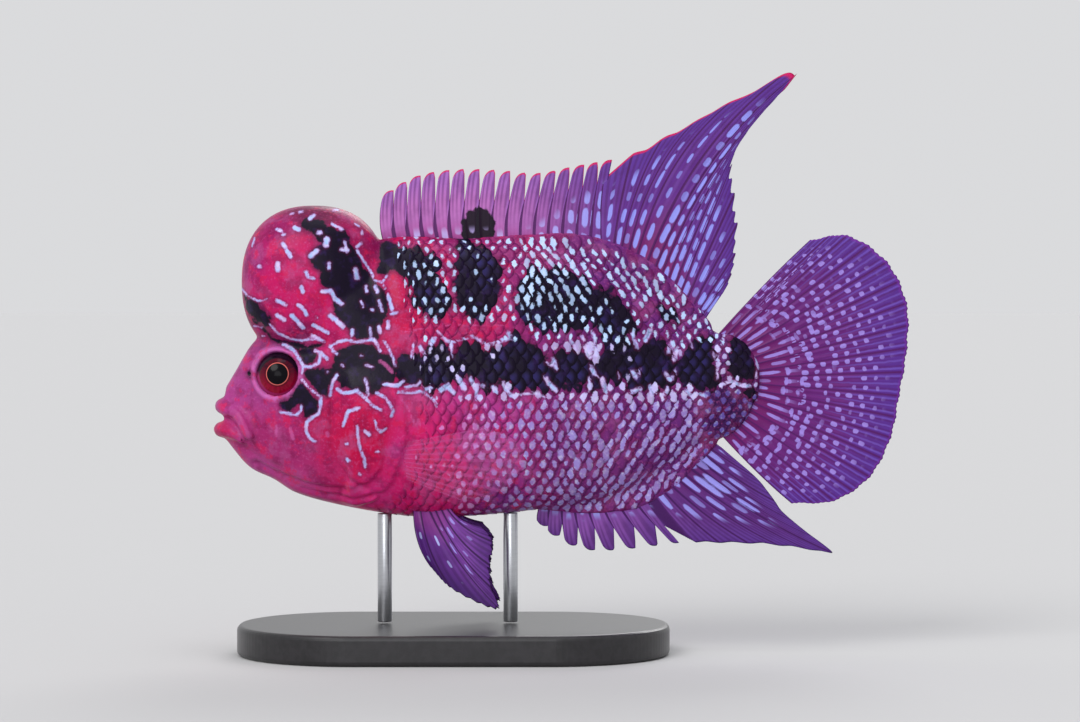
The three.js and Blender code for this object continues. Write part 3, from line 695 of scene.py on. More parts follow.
def markSkin(piece):
    place = cornersOf(piece.data)
    px, py = toPhoto(place[:, 0], place[:, 2], place[:, 1])
    colour = np.ones((len(px), 4))
    colour[:, :3] = zoneColour(px, py)
    ring = np.hypot((px - eyeRing["x"]) / eyeRing["wide"], (py - eyeRing["y"]) / eyeRing["high"])
    share = smoothStep(*eyeRing["inner"], ring) * smoothStep(*eyeRing["outer"], ring) * eyeRing["share"]
    colour[:, :3] += share[:, None] * (onScreen(eyeRing["tint"]) - colour[:, :3])
    setAttribute(piece.data, "zone", "FLOAT_COLOR", colour)
    markDistances(piece.data, px, py, darkness(px, py))


# Scales: rows set by their distance round the body from the line of the flank
scale = {
    "pitch": 1.86, "row": 1.62, "long": 3.2, "wide": 3.35, "lift": 0.085, "dome": 0.03, "thick": 0.07,
    "first": 366, "last": 757, "flank": [(-28, 46), (-5, 46.5), (15, 46), (33, 46)], "margin": 0.9, "grid": 5,
    "smallest": 0.62, "fullGirth": 52, "strayUp": 0.16, "strayAlong": 0.2, "root": 0.12, "under": 0.12,
    "sunkFrom": 38, "sunkTo": 8, "wholeTint": 0.65, "tailArch": 0.0082, "tailMiddle": 384, "clear": (5, 2),
}
gillEdge = [
    (238, 383), (262, 388), (300, 392), (350, 400), (398, 407), (441, 409), (463, 402), (481, 395),
    (500, 380), (512, 360),
]


def scaleShape():
    def place(u, v):
        a, b = 2 * u - 1, 2 * v - 1
        x, y = a * math.sqrt(1 - b * b / 2), b * math.sqrt(1 - a * a / 2)
        return (x, y, 0), (x, y, 1)

    bm = shapedGrid(scale["grid"], scale["grid"], place, keep="place")
    layer = bm.verts.layers.float_vector["place"]
    grown = bmesh.ops.extrude_face_region(bm, geom=bm.faces[:])
    for v in [e for e in grown["geom"] if isinstance(e, bmesh.types.BMVert)]:
        v.co.z -= 1
        v[layer] = (v.co.x, v.co.y, 0)
    bmesh.ops.recalc_face_normals(bm, faces=bm.faces)
    mesh = bpy.data.meshes.new("scale")
    bm.to_mesh(mesh)
    bm.free()
    return mesh


# From the lowest to the highest place of one side, with each place's distance from the line of the flank
def flankPath(x, steps=240):
    _, y, z = bodyPoint(np.full(steps, x), np.linspace(-math.pi / 2, math.pi / 2, steps))
    low = max(0.0, float(along(sheath["belly"], x))) if x < sheath["belly"][-1][0] else 0.0
    high = max(0.0, float(along(sheath["back"], x))) if x < sheath["back"][-1][0] else 0.0
    y, z = np.concatenate([[0.3], y, [0.3]]), np.concatenate([[z[0] - low], z, [z[-1] + high]])
    length = np.concatenate([[0], np.cumsum(np.hypot(np.diff(y), np.diff(z)))])
    start = np.interp(float(along(scale["flank"], x)), z, length)
    return y, z, length - start


def scaleSpots():
    spots = []
    first, last = fromPhoto(scale["first"], 0)[0], fromPhoto(scale["last"], 0)[0]
    columns = int((last - first) / scale["pitch"] * 2) + 1
    for c in range(columns):
        x = first + c * scale["pitch"] / 2
        ys, zs, lengths = flankPath(x)
        girth = lengths[-1] - lengths[0]
        share = scale["smallest"] + (1 - scale["smallest"]) * min(1.0, girth / scale["fullGirth"])
        row = scale["row"] * share
        for r in range(-20, 21):
            if (r + c) % 2:
                continue
            reach = r * row + dice.uniform(-scale["strayUp"], scale["strayUp"])
            if not lengths[0] + scale["margin"] < reach < lengths[-1] - scale["margin"]:
                continue
            y, z = float(np.interp(reach, lengths, ys)), float(np.interp(reach, lengths, zs))
            spot = (x + dice.uniform(-scale["strayAlong"], scale["strayAlong"]), y, z)
            px, py = toPhoto(spot[0], spot[2], spot[1])
            edge = float(np.interp(py, [p[0] for p in gillEdge], [p[1] for p in gillEdge]))
            tailReach = scale["last"] - scale["tailArch"] * (py - scale["tailMiddle"]) ** 2
            if px < edge + scale["clear"][0] or px > tailReach - scale["clear"][1]:
                continue
            sunk = float(smoothStep(edge + scale["sunkFrom"], edge + scale["sunkTo"], px))
            spots.append((spot, share, reach / girth, sunk))
    return spots


# Pearls by place, in photo pixels. The first rule that holds gives the pearl's size, least and most, its
# height over its length, and the share of scales that have one, at the place's left and right edge
wholeSide = (0, 999)
pearlRules = [
    {"x": (0, 455), "y": (340, 392), "size": (0.36, 0.36), "tall": 2.2, "share": (0.5, 0.5), "dark": 1},
    {"x": (455, 999), "y": (340, 392), "size": (0.36, 0.36), "tall": 2.2, "share": (0.05, 0.05), "dark": 1},
    {"x": (0, 520), "y": (320, 345), "size": (0.34, 0.34), "tall": 1.8, "share": (0.12, 0.12)},
    {"x": (450, 494), "y": (246, 300), "size": (0.3, 0.3), "tall": 2.0, "share": (0.3, 0.3)},
    {"x": (520, 999), "y": (0, 300), "size": (0.36, 0.66), "tall": 3.0, "share": (0.86, 0.86)},
    {"x": wholeSide, "y": (0, 345), "size": (0.26, 0.56), "tall": 2.2, "share": (0.84, 0.84)},
    {"x": (695, 999), "y": wholeSide, "size": (0.5, 0.64), "tall": 1.6, "share": (1, 1)},
    {"x": (0, 450), "y": wholeSide, "size": (0.28, 0.54), "tall": 1.5, "share": (0.3, 0.3)},
    {"x": (450, 545), "y": wholeSide, "size": (0.46, 0.72), "tall": 1.7, "share": (0.7, 1.0)},
    {"x": (600, 999), "y": (420, 999), "size": (0.46, 0.82), "tall": 2.9, "share": (0.9, 0.9)},
    {"x": wholeSide, "y": wholeSide, "size": (0.42, 0.8), "tall": 2.0, "share": (1, 1)},
]


def pearlOf(px, py, dark, roll):
    for rule in pearlRules:
        fits = rule["x"][0] <= px <= rule["x"][1] and rule["y"][0] < py < rule["y"][1]
        if not fits or ("dark" in rule and dark >= 0):
            continue
        if roll >= np.interp(px, rule["x"], rule["share"]):
            return 0.0, 1.0
        least, most = rule["size"]
        return least + (most - least) * roll, rule["tall"]


pearlTints = {
    "back": (180, 208, 250), "flank": (196, 186, 242), "belly": (156, 136, 210), "breast": (214, 132, 206),
    "underTail": (100, 86, 172),
}
# Towards the soft fins the pearls lean the way the rays do: how far, and between which pixels it sets in
pearlLean = {
    "belly": {"by": 0.62, "x": (550, 640), "y": (396, 430)},
    "back": {"by": -0.7, "x": (500, 570), "y": (316, 280)},
}


def pearlTint(px, py):
    if py < 345:
        return onScreen(pearlTints["back"])
    if px > 700 and py > 392:
        return onScreen(pearlTints["underTail"])
    if py < 400:
        return onScreen(pearlTints["flank"])
    share = float(smoothStep(440, 520, px))
    return onScreen(pearlTints["breast"]) * (1 - share) + onScreen(pearlTints["belly"]) * share


def buildScales(side, skinTree, look):
    shape = scaleShape()
    small = bmesh.new()
    points = len(shape.vertices)
    spots = scaleSpots()
    notes = []
    for spot, share, girthShare, _ in spots:
        x, y, z = spot
        small.from_mesh(shape)
        notes.append((x, z, y, share, girthShare, dice.random(), dice.random(), dice.random()))
    small.verts.ensure_lookup_table()
    local = np.array([v.co[:] for v in small.verts]).reshape(len(spots), points, 3)
    placed = np.empty_like(local)
    for n, (spot, share, _, sunk) in enumerate(spots):
        found, normal, _, _ = skinTree.find_nearest(sided(spot, side))
        tailward = Vector((1, 0, 0)) - normal * normal.x
        tailward.normalize()
        across = normal.cross(tailward) * side
        half = scale["long"] / 2 * (0.8 + 0.2 * share)  # small scales stay longer than wide
        wide = scale["wide"] / 2 * share
        for k in range(points):
            a, b, h = local[n, k]
            flat = found + tailward * (a * half) + across * (b * wide)
            near, lean, _, _ = skinTree.find_nearest(flat)
            rise = scale["lift"] * (1 - 0.5 * sunk) * (a + 1) / 2 + scale["dome"] * (1 - a * a * 0.6 - b * b)
            rise -= scale["root"] * (1 + sunk) * (1 - a) / 2
            placed[n, k] = near + lean * (rise + h * (scale["thick"] + scale["under"]))
    for v, co in zip(small.verts, placed.reshape(-1, 3)):
        v.co = co
    piece = newObject("scales_left" if side < 0 else "scales_right", small, look, scale=1)
    markScales(piece, notes, local, points)
    return piece


def markScales(piece, notes, local, points):
    mesh = piece.data
    notes = np.array(notes)
    px, py = toPhoto(notes[:, 0], notes[:, 1], notes[:, 2])
    place = cornersOf(mesh)
    vx, vy = toPhoto(place[:, 0], place[:, 2], place[:, 1])
    dark = darkness(px, py)
    pearls = np.array([pearlOf(*row) for row in zip(px, py, dark, notes[:, 5])])
    tints = np.array([pearlTint(*row) for row in zip(px, py)])

    def spread(values):  # from scales to their points
        return np.repeat(values, points, axis=0)

    for name, values in (("zone", zoneColour(px, py)), ("tint", tints)):
        colour = np.ones((len(place), 4))
        colour[:, :3] = spread(values)
        setAttribute(mesh, name, "FLOAT_COLOR", colour)
    whole = scale["wholeTint"]  # a scale is mostly dark or mostly clear
    markDistances(mesh, vx, vy, (1 - whole) * darkness(vx, vy) + whole * spread(dark))
    flat = local.reshape(-1, 3)
    onScale = np.column_stack([flat[:, 0], flat[:, 1], spread(notes[:, 6])])
    setAttribute(mesh, "onScale", "FLOAT_VECTOR", onScale)
    lean = notes[:, 7]
    for part in pearlLean.values():
        lean = lean + part["by"] * smoothStep(*part["x"], px) * smoothStep(*part["y"], py)
    setAttribute(mesh, "pearl", "FLOAT_VECTOR", np.column_stack([spread(pearls), spread(lean)]))
    bake = mesh.uv_layers.new(name="OFBake")
    corner = np.empty(len(mesh.loops), np.int32)
    mesh.loops.foreach_get("vertex_index", corner)
    patch, inset = 0.0015, 0.9  # each scale has its own small square of the map
    along = (notes[:, 0] - body["start"]) / (body["end"] - body["start"])
    u = spread(0.05 + inset * along) + flat[:, 0] * patch
    v = spread(0.5 + inset * notes[:, 4]) + flat[:, 1] * patch
    bake.data.foreach_set("uv", np.column_stack([u, v])[corner].astype(np.float32).ravel())


# Fins. Each is one closed sheet: up the front face to the tip and down the other face
sheet = {
    "root": 12, "tip": 14, "sides": 3,  # how fast a sheet swells from its edges
    "laneUnknown": 1.5, "splits": ((0.3, 0.42), (0.6, 0.72)),
}


# Millimetres from ray to ray
def laneWidth(v, own, layer):
    widths = []
    for edge in v.link_edges:
        other = edge.other_vert(v)
        step = abs(other[layer].x - own.x)
        if step > 0.002 and abs(other[layer].z - own.z) < 0.02:
            widths.append((other.co - v.co).length / step)
    return min(widths) if widths else sheet["laneUnknown"]


def finSheet(name, fin, spotAt, out, material, replaced):
    columns = fin["columns"]

    def place(u, w):
        v = 1 - abs(2 * w - 1)
        face = 1 if w < 0.5 else -1
        spot, ray, length = spotAt(u, v)
        fromSide = min(u, 1 - u) * columns / sheet["sides"]
        closed = min(1.0, v * sheet["root"], (1 - v) * sheet["tip"], fromSide)
        half = halfThickness(fin, v, ray) * max(0.0, closed) ** 0.5
        return spot + out * (face * half), (ray, length, v)

    bm = shapedGrid(columns, fin["rows"] * 2, place, keep="onFin")
    layer = bm.verts.layers.float_vector["onFin"]
    lanes = [laneWidth(v, v[layer], layer) for v in bm.verts]
    piece = newObject(name, bm, material)
    setAttribute(piece.data, "lane", "FLOAT", lanes)
    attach(piece, "root")
    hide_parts(replaced)


def raySpot(root, tip, bow, v):
    return root.lerp(tip, v) + bow * (4 * v * (1 - v))


def ridge(ray, width):
    off = abs(ray - round(ray))
    return math.exp(-((off / width) ** 2))


# Rays are single at the root and split twice on their way to the edge; a spine stays single
def halfThickness(fin, v, ray):
    skinHalf, rayHalf, tipShare = fin["thick"]
    taper = 1 - (1 - tipShare) * v
    if ray < fin.get("spines", 0):
        off = ray - math.floor(ray)
        return (skinHalf + rayHalf * math.exp(-((off / 0.13) ** 2)) * (1 - 0.5 * v)) * taper
    split = sum(smoothStep(*ramp, v) for ramp in sheet["splits"])
    single, double, many = ridge(ray, 0.2), ridge(ray * 2 + 0.5, 0.3), ridge(ray * 4 + 0.5, 0.36)
    mix = single * max(0, 1 - split) + double * (split if split < 1 else 2 - split) + many * max(0, split - 1)
    return (skinHalf + rayHalf * (0.9 - 0.45 * v) * mix) * taper


rootSunk = 2.2  # fins start this deep in the body


def onBack(x):
    return x, float(along(body["back"], x)) - rootSunk


def onBelly(x):
    return x, float(along(body["belly"], x)) + rootSunk


dorsal = {
    "spines": 16, "soft": 16, "spineShare": 0.54, "columns": 460, "rows": 84,
    "spineRoots": inSide([onBack(x) for x in (-29.2, -20, -11, -2, 7.4)]),
    "spineTips": inSide([
        (-29.6, 76.2), (-23.6, 79.6), (-17.2, 80.7), (-10.4, 80.6), (-3.6, 80.1), (2.8, 81.3), (9, 82.4),
    ]),
    "softRoots": inSide([onBack(x) for x in (8, 12, 16.5, 20, 22.4)]),
    "softTips": inSide([
        (11.8, 83.3), (19.4, 87.4), (28.5, 92.4), (39.5, 97.4), (36.6, 93.7), (31.2, 88.2), (28.7, 82.4),
        (29.4, 74.5), (29.2, 67), (28, 62), (24.2, 56.6),
    ]),
    "notch": (0.52, 0.92), "spineBow": Vector((-0.7, 0, 0)), "longBow": Vector((-2.6, 0, 2.8)),
    "flapFront": Vector((-1.98, 0, -1.5)), "flapMiddle": Vector((-1.2, 0, -0.3)), "bridge": 0.018,
    "edgeDip": 0.02, "edgeRipple": 0.012, "tearFrom": (0.4, 0.5), "tear": 0.05, "tearRipple": 0.03,
    "thick": (0.16, 0.2, 0.5),
}
flap = {"spine": 0.72, "web": 0.16, "hollow": 0.8, "tip": 0.75}  # places across one flap, and the web's curve


def flapTop(f, tip, front, middle, notchSpot):
    if f < flap["spine"]:
        t = f / flap["spine"]
        a, b, c = tip + front, tip + middle, tip
        return a * (1 - t) ** 2 + (b * 2 - (a + c) / 2) * (2 * t * (1 - t)) + c * t * t
    t = min((f - flap["spine"]) / flap["web"], 1)
    return tip.lerp(notchSpot, t ** flap["hollow"])


def spinySpot(fin, share, v):
    p = min(share, 0.99999) * fin["spines"]
    i = int(p)
    f = p - i
    count = fin["spines"]
    root = curvePoint(fin["spineRoots"], min((i + f) / count, 1))
    tip = curvePoint(fin["spineTips"], (i + flap["tip"]) / count)
    depth = fin["notch"][0] + (fin["notch"][1] - fin["notch"][0]) * i / count
    nextRoot = curvePoint(fin["spineRoots"], (i + 1) / count)
    nextTop = curvePoint(fin["spineTips"], min((i + 1 + flap["tip"]) / count, 1)) + fin["flapFront"]
    notchSpot = raySpot(nextRoot, nextTop, fin["spineBow"], depth)  # on the front edge of the next flap
    top = flapTop(f, tip, fin["flapFront"], fin["flapMiddle"], notchSpot)
    return raySpot(root, top, fin["spineBow"], v), p, (top - root).length * v


def dorsalSpot(u, v):
    edge, bridge = dorsal["spineShare"], dorsal["bridge"]
    if u < edge:
        return spinySpot(dorsal, u / edge, v)
    t = max(0.0, (u - edge - bridge) / (1 - edge - bridge))
    root, tip = curvePoint(dorsal["softRoots"], t), curvePoint(dorsal["softTips"], t)
    bow = dorsal["longBow"] * math.sin(math.pi * min(1, 0.1 + 1.5 * t)) ** 1.5
    lane = t * (dorsal["soft"] - 1)
    wave = 1 - dorsal["edgeDip"] * (1 - ridge(lane, 0.35)) - dorsal["edgeRipple"] * math.sin(37 * t) ** 2
    tear = dorsal["tear"] * (1 - ridge(lane * 2, 0.3)) + dorsal["tearRipple"] * math.sin(lane * 2.3) ** 2
    wave -= float(smoothStep(*dorsal["tearFrom"], t)) * tear  # single rays stand out of the rear edge
    tip = root.lerp(tip, wave)
    spot = raySpot(root, tip, bow, v)
    ray = dorsal["spines"] + 1 + t * (dorsal["soft"] - 1)
    if u < edge + bridge:  # one lane joins the last flap to the first soft ray
        share = (u - edge) / bridge
        last = spinySpot(dorsal, 0.99999, v)[0]
        spot, ray = last.lerp(spot, share), dorsal["spines"] + share
    return spot, ray, (tip - root).length * v


anal = {
    "spines": 8, "soft": 11, "spineShare": 0.44, "columns": 300, "rows": 64,
    "spineRoots": inSide([onBelly(x) for x in (-3.2, 1.5, 6.5, 12)]),
    "spineTips": inSide([(-3.2, 22.6), (-0.6, 20), (4, 17.6), (9, 17.3), (14.8, 17.9), (20.6, 18.6)]),
    "softRoots": inSide([onBelly(x) for x in (12.6, 16, 19.5, 22.8)]),
    "softTips": inSide([
        (22.2, 18.5), (27.5, 18.4), (33.9, 18.2), (40, 17.5), (45.2, 16.8), (41, 20.2), (37, 23.6),
        (33.4, 28.4), (26.8, 34.3),
    ]),
    "notch": (0.55, 0.84), "spineBow": Vector((-0.3, 0, -0.4)),
    "flapFront": Vector((-2.1, 0, 0.9)), "flapMiddle": Vector((-1.2, 0, 0)), "edgeDip": 0.02,
    "thick": (0.16, 0.18, 0.5),
}


def analSpot(u, v):
    edge = anal["spineShare"]
    if u < edge:
        return spinySpot(anal, u / edge, v)
    t = (u - edge) / (1 - edge)
    root, tip = curvePoint(anal["softRoots"], t), curvePoint(anal["softTips"], t)
    bow = Vector((-0.6 * (1 - t), 0, -1.3 * math.sin(math.pi * t)))
    tip = root.lerp(tip, 1 - anal["edgeDip"] * (1 - ridge(t * (anal["soft"] - 1), 0.35)))
    return raySpot(root, tip, bow, v), anal["spines"] + t * (anal["soft"] - 1), (tip - root).length * v


caudal = {
    "soft": 19, "columns": 380, "rows": 90,
    "roots": inSide([(24.5, 51.5), (28.5, 49.5), (29.8, 46), (29.3, 42.5), (25, 38.2)]),
    "tips": inSide([
        (41.4, 69), (47.6, 69.8), (54.3, 65.4), (57.6, 58.5), (57.7, 51), (56.4, 43), (55, 36), (51.5, 29.4),
        (45.5, 25.4), (38.4, 25),
    ]),
    "edgeDip": 0.01, "edgeFringe": 0.008, "thick": (0.18, 0.2, 0.45),
}


def caudalSpot(u, v):
    root, tip = curvePoint(caudal["roots"], u), curvePoint(caudal["tips"], u)
    bow = Vector((0.4, 0, 0.9 * (1 - 2 * u) ** 3))
    ray = u * (caudal["soft"] - 1)
    fringe = caudal["edgeFringe"] * (1 - ridge(ray * 4, 0.4))
    tip = root.lerp(tip, 1 - fringe - caudal["edgeDip"] * (1 - ridge(ray, 0.4)))
    return raySpot(root, tip, bow, v), ray, (tip - root).length * v


pelvic = {
    "soft": 7, "columns": 130, "rows": 60,
    "tips": [(-21.6, 15), (-18.2, 11.4), (-10.3, 8), (-11.4, 11.2), (-11.7, 15), (-11.3, 19), (-13.2, 21.6)],
    "roots": (-24.6, -23.6, -22.5, -21.4, -20.4, -19.5, -18.7),
    "rootOut": (2.9, 0.12), "tipOut": (7.6, -0.45),  # how far out the first ray is, and each next one's step
    "bow": (-0.9, 0.5, -0.5), "tear": 0.05, "tearRipple": 0.02, "tearFrom": (0.35, 0.5),
    "out": (0.1, 0.25), "thick": (0.14, 0.2, 0.5),
}


def pelvicSpot(side):
    (rootOut, rootStep), (tipOut, tipStep) = pelvic["rootOut"], pelvic["tipOut"]
    roots, tips = [], []
    for i, (x, tip) in enumerate(zip(pelvic["roots"], pelvic["tips"])):
        roots.append(Vector((x, side * (rootOut + rootStep * i), onBelly(x)[1] + 0.2)))
        tips.append(Vector((tip[0], side * (tipOut + tipStep * i), tip[1])))

    def spot(u, v):
        ray = u * (pelvic["soft"] - 1)
        root, tip = curvePoint(roots, u), curvePoint(tips, u)
        tear = pelvic["tear"] * (1 - ridge(ray * 2, 0.4)) * smoothStep(*pelvic["tearFrom"], u)
        tip = root.lerp(tip, 1 - float(tear + pelvic["tearRipple"] * math.sin(ray * 17) ** 2))
        return raySpot(root, tip, sided(pelvic["bow"], side), v), ray, (tip - root).length * v

    return spot


pectoral = {
    "soft": 11, "columns": 150, "rows": 48,
    "roots": [(-26.2, 9.1, 35.6), (-26, 9.2, 33.4), (-25.8, 9.2, 31.4), (-25.6, 9, 29.6)],
    "tips": [
        (-12.5, 15.6, 38.4), (-7.6, 17.6, 36.4), (-6.4, 17.9, 33), (-8, 16.9, 29.6), (-12, 14.8, 27),
        (-16.6, 12.8, 26.4),
    ],
    "bow": (0, 0.8, 0), "edgeDip": 0.02, "out": (-0.42, 0), "thick": (0.08, 0.16, 0.45),
}


def pectoralSpot(side):
    roots, tips = ([sided(spot, side) for spot in pectoral[key]] for key in ("roots", "tips"))

    def spot(u, v):
        ray = u * (pectoral["soft"] - 1)
        root, tip = curvePoint(roots, u), curvePoint(tips, u)
        tip = root.lerp(tip, 1 - pectoral["edgeDip"] * (1 - ridge(ray, 0.4)))
        return raySpot(root, tip, sided(pectoral["bow"], side), v), ray, (tip - root).length * v

    return spot


def buildFins():
    single = (("dorsal", dorsal, dorsalSpot), ("anal", anal, analSpot), ("caudal", caudal, caudalSpot))
    for name, fin, spotAt in single:
        look = finMaterial(f"{name}Skin", finLooks[name])
        finSheet(f"{name}Fin", fin, spotAt, Vector((0, 1, 0)), look, f"{name}_fin")
    paired = (
        ("pelvic", pelvic, pelvicSpot, finMaterial("pelvicSkin", finLooks["pelvic"])),
        ("pectoral", pectoral, pectoralSpot, clearFinMaterial()),
    )
    for side, end in ((-1, "left"), (1, "right")):
        for name, fin, spotAt, look in paired:
            ahead, up = fin["out"]
            out = Vector((ahead, side, up)).normalized()
            finSheet(f"{name}Fin_{end}", fin, spotAt(side), out, look, f"{name}_fin_{end}")


# Eyes
eye = {
    "x": -46.6, "y": 5.4, "z": 46.6, "radius": 3.75, "depth": 2.5, "turnForward": 0.06, "turnUp": 0.1,
    "pupil": 1.75, "iris": 3.3, "cornea": 0.42,
}


def buildEyes():
    ballLook = eyeMaterial()
    for side, end in ((-1, "left"), (1, "right")):
        bm = bmesh.new()
        bmesh.ops.create_uvsphere(bm, u_segments=64, v_segments=48, radius=1)
        bmesh.ops.rotate(bm, cent=(0, 0, 0), matrix=Matrix.Rotation(math.pi / 2, 3, "X"), verts=bm.verts)
        layer = bm.verts.layers.float_vector.new("onEye")
        for v in bm.verts:
            spot = Vector((v.co.x * eye["radius"], v.co.y * eye["depth"], v.co.z * eye["radius"]))
            across = math.hypot(spot.x, spot.z)
            if spot.y * side > 0:
                spot.y += side * eye["cornea"] * max(0.0, 1 - (across / eye["iris"]) ** 2)
            v[layer] = spot
            v.co = turnOf(eye, side) @ spot + middleOf(eye, side)
        bmesh.ops.recalc_face_normals(bm, faces=bm.faces)
        piece = newObject(f"eyeBall_{end}", bm, ballLook)
        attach(piece, "root")
        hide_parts(f"eye_{end}")


# Stand
stand = {
    "x": -18, "length": 72, "width": 42, "thick": 5, "corner": 20, "edge": 0.8,
    "rod": 1.2, "rodEdge": 0.15, "rods": (-29.5, -8.5),
}


def buildStand():
    bm = bmesh.new()
    halfX, halfY, r = stand["length"] / 2, stand["width"] / 2, stand["corner"]
    bmesh.ops.create_circle(bm, cap_ends=True, segments=128, radius=r)
    for v in bm.verts:
        v.co.x += math.copysign(halfX - r, v.co.x) if abs(v.co.x) > 1e-6 else 0
        v.co.y += math.copysign(halfY - r, v.co.y) if abs(v.co.y) > 1e-6 else 0
    grown = bmesh.ops.extrude_face_region(bm, geom=bm.faces[:])
    top = [e for e in grown["geom"] if isinstance(e, bmesh.types.BMVert)]
    bmesh.ops.translate(bm, vec=(0, 0, stand["thick"]), verts=top)
    bmesh.ops.recalc_face_normals(bm, faces=bm.faces)
    rims = [e for e in bm.edges if abs(e.verts[0].co.z - e.verts[1].co.z) < 1e-6 and e.calc_face_angle(0) > 1]
    bmesh.ops.bevel(bm, geom=rims, offset=stand["edge"], segments=4, profile=0.5, affect="EDGES", material=-1)
    bmesh.ops.translate(bm, vec=(stand["x"], 0, 0), verts=bm.verts)
    base = newObject("standBase", bm, standMaterial(), smooth=False)
    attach(base, "root")
    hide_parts("stand_base")
    steel = rodMaterial()
    for x, end in zip(stand["rods"], ("front", "rear")):
        low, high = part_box(f"stand_rod_{end}")
        bm = bmesh.new()
        tall = (high.z - low.z) / mm
        thick = stand["rod"]
        bmesh.ops.create_cone(bm, cap_ends=True, segments=40, radius1=thick, radius2=thick, depth=tall)
        caps = [e for e in bm.edges if e.calc_face_angle(0) > 1]
        bmesh.ops.bevel(
            bm, geom=caps, offset=stand["rodEdge"], segments=2, profile=0.5, affect="EDGES", material=-1,
        )
        bmesh.ops.translate(bm, vec=(x, 0, low.z / mm + tall / 2), verts=bm.verts)
        rod = newObject(f"standRod_{end}", bm, steel)
        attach(rod, "root")
        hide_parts(f"stand_rod_{end}")


# Small helpers for materials
def newMaterial(name):
    material = bpy.data.materials.new(name)
    material.use_nodes = True
    tree = material.node_tree
    return material, tree, tree.nodes["Principled BSDF"]


def plug(tree, socket, value):
    if isinstance(value, bpy.types.NodeSocket):
        tree.links.new(value, socket)
    elif value is not None:
        socket.default_value = value


def calc(tree, operation, a, b=None):
    node = tree.nodes.new("ShaderNodeMath")
    node.operation = operation
    for socket, value in zip(node.inputs, (a, b)):
        plug(tree, socket, value)
    return node.outputs[0]


def times(tree, a, b):
    return calc(tree, "MULTIPLY", a, b)


def plus(tree, a, b):
    return calc(tree, "ADD", a, b)


def minus(tree, a, b):
    return calc(tree, "SUBTRACT", a, b)


def over(tree, a, b):
    return calc(tree, "DIVIDE", a, b)


def lengthOf(tree, a, b):
    return calc(tree, "SQRT", plus(tree, calc(tree, "POWER", a, 2.0), calc(tree, "POWER", b, 2.0)))


def between(tree, value, low, high, start=0.0, end=1.0):
    node = tree.nodes.new("ShaderNodeMapRange")
    node.interpolation_type = "SMOOTHSTEP"
    for socket, given in zip(node.inputs, (value, low, high, start, end)):
        plug(tree, socket, given)
    return node.outputs[0]


def mixTint(tree, share, first, second):
    node = tree.nodes.new("ShaderNodeMix")
    node.data_type = "RGBA"
    plug(tree, node.inputs[0], share)
    for socket, value in ((node.inputs[6], first), (node.inputs[7], second)):
        plug(tree, socket, value if isinstance(value, bpy.types.NodeSocket) else (*onScreen(value), 1))
    return node.outputs[2]


def named(tree, name, output="Fac"):
    node = tree.nodes.new("ShaderNodeAttribute")
    node.attribute_name = name
    return node.outputs[output]


def split(tree, vector):
    node = tree.nodes.new("ShaderNodeSeparateXYZ")
    plug(tree, node.inputs[0], vector)
    return node.outputs


def together(tree, x, y, z=0.0):
    node = tree.nodes.new("ShaderNodeCombineXYZ")
    for socket, value in zip(node.inputs, (x, y, z)):
        plug(tree, socket, value)
    return node.outputs[0]


def ownPlace(tree):
    return tree.nodes.new("ShaderNodeTexCoord").outputs["Object"]


def cloud(tree, size, detail=3.0, vector=None, rough=0.55):
    node = tree.nodes.new("ShaderNodeTexNoise")
    plug(tree, node.inputs["Vector"], vector or ownPlace(tree))
    node.inputs["Scale"].default_value = 1 / (size * mm) if vector is None else 1 / size
    node.inputs["Detail"].default_value = detail
    node.inputs["Roughness"].default_value = rough
    return node.outputs["Fac"]


def bumped(tree, height, distance, strength=1.0, under=None):
    node = tree.nodes.new("ShaderNodeBump")
    node.inputs["Distance"].default_value = distance * mm
    node.inputs["Strength"].default_value = strength
    plug(tree, node.inputs["Height"], height)
    if under is not None:
        plug(tree, node.inputs["Normal"], under)
    return node.outputs[0]


gloss = {  # the same on all of the fish
    "IOR": 1.3, "Specular IOR Level": 0.22, "Coat Roughness": 0.26, "Coat IOR": 1.3,
    "Subsurface Radius": (1.0, 0.35, 0.45), "Subsurface Scale": 0.5 * mm,
}


def wet(shader, rough, coat, soft=0.0):
    own = {"Roughness": rough, "Coat Weight": coat, "Subsurface Weight": soft}
    for socket, value in {**gloss, **own}.items():
        shader.inputs[socket].default_value = value


markLooks = {
    "dark": (15, 3, 28), "sheen": (38, 18, 66), "halo": (92, 8, 62), "pale": (212, 200, 242),
    "paleBlue": (168, 196, 244), "soft": (186, 144, 216), "faint": (200, 92, 160), "mottle": (112, 6, 66),
    "bright": (206, 18, 76), "haze": (168, 84, 142),
}
# Cloudy changes of colour: size in millimetres, detail, roughness, and the ramp that each is read with
markClouds = {
    "haze": (4.2, 5, 0.62, (0.5, 0.62, 0.0, 0.36)), "mottle": (2.6, 6, 0.55, (0.48, 0.62, 0.0, 0.44)),
    "bright": (2.0, 6, 0.65, (0.5, 0.66, 0.0, 0.6)), "faint": (0.42, 3, 0.55, (0.5, 0.75, 0.0, 0.28)),
    "sheen": (1.7, 5, 0.55, (0.5, 0.75)), "paleBlue": (1.8, 2, 0.55, (0.36, 0.56)),
    "wear": (1.1, 2, 0.55, (0.3, 0.55, 0.72, 0.97)),
}
# Where a mark begins and is full, in millimetres from its outline, and how strong it is at both
markEdges = {
    "halo": (0.8, 0.0, 0.0, 0.65), "dark": (0.16, -0.16), "soft": (-0.26, 0.06, 0.0, 0.8),
    "faint": (0.2, -0.15, 0.0, 0.6), "pale": (0.16, -0.12), "paleHalo": (0.5, 0.1, 0.0, 0.3),
}
crimson = (2 * mm, -10 * mm)  # the rear half has no crimson


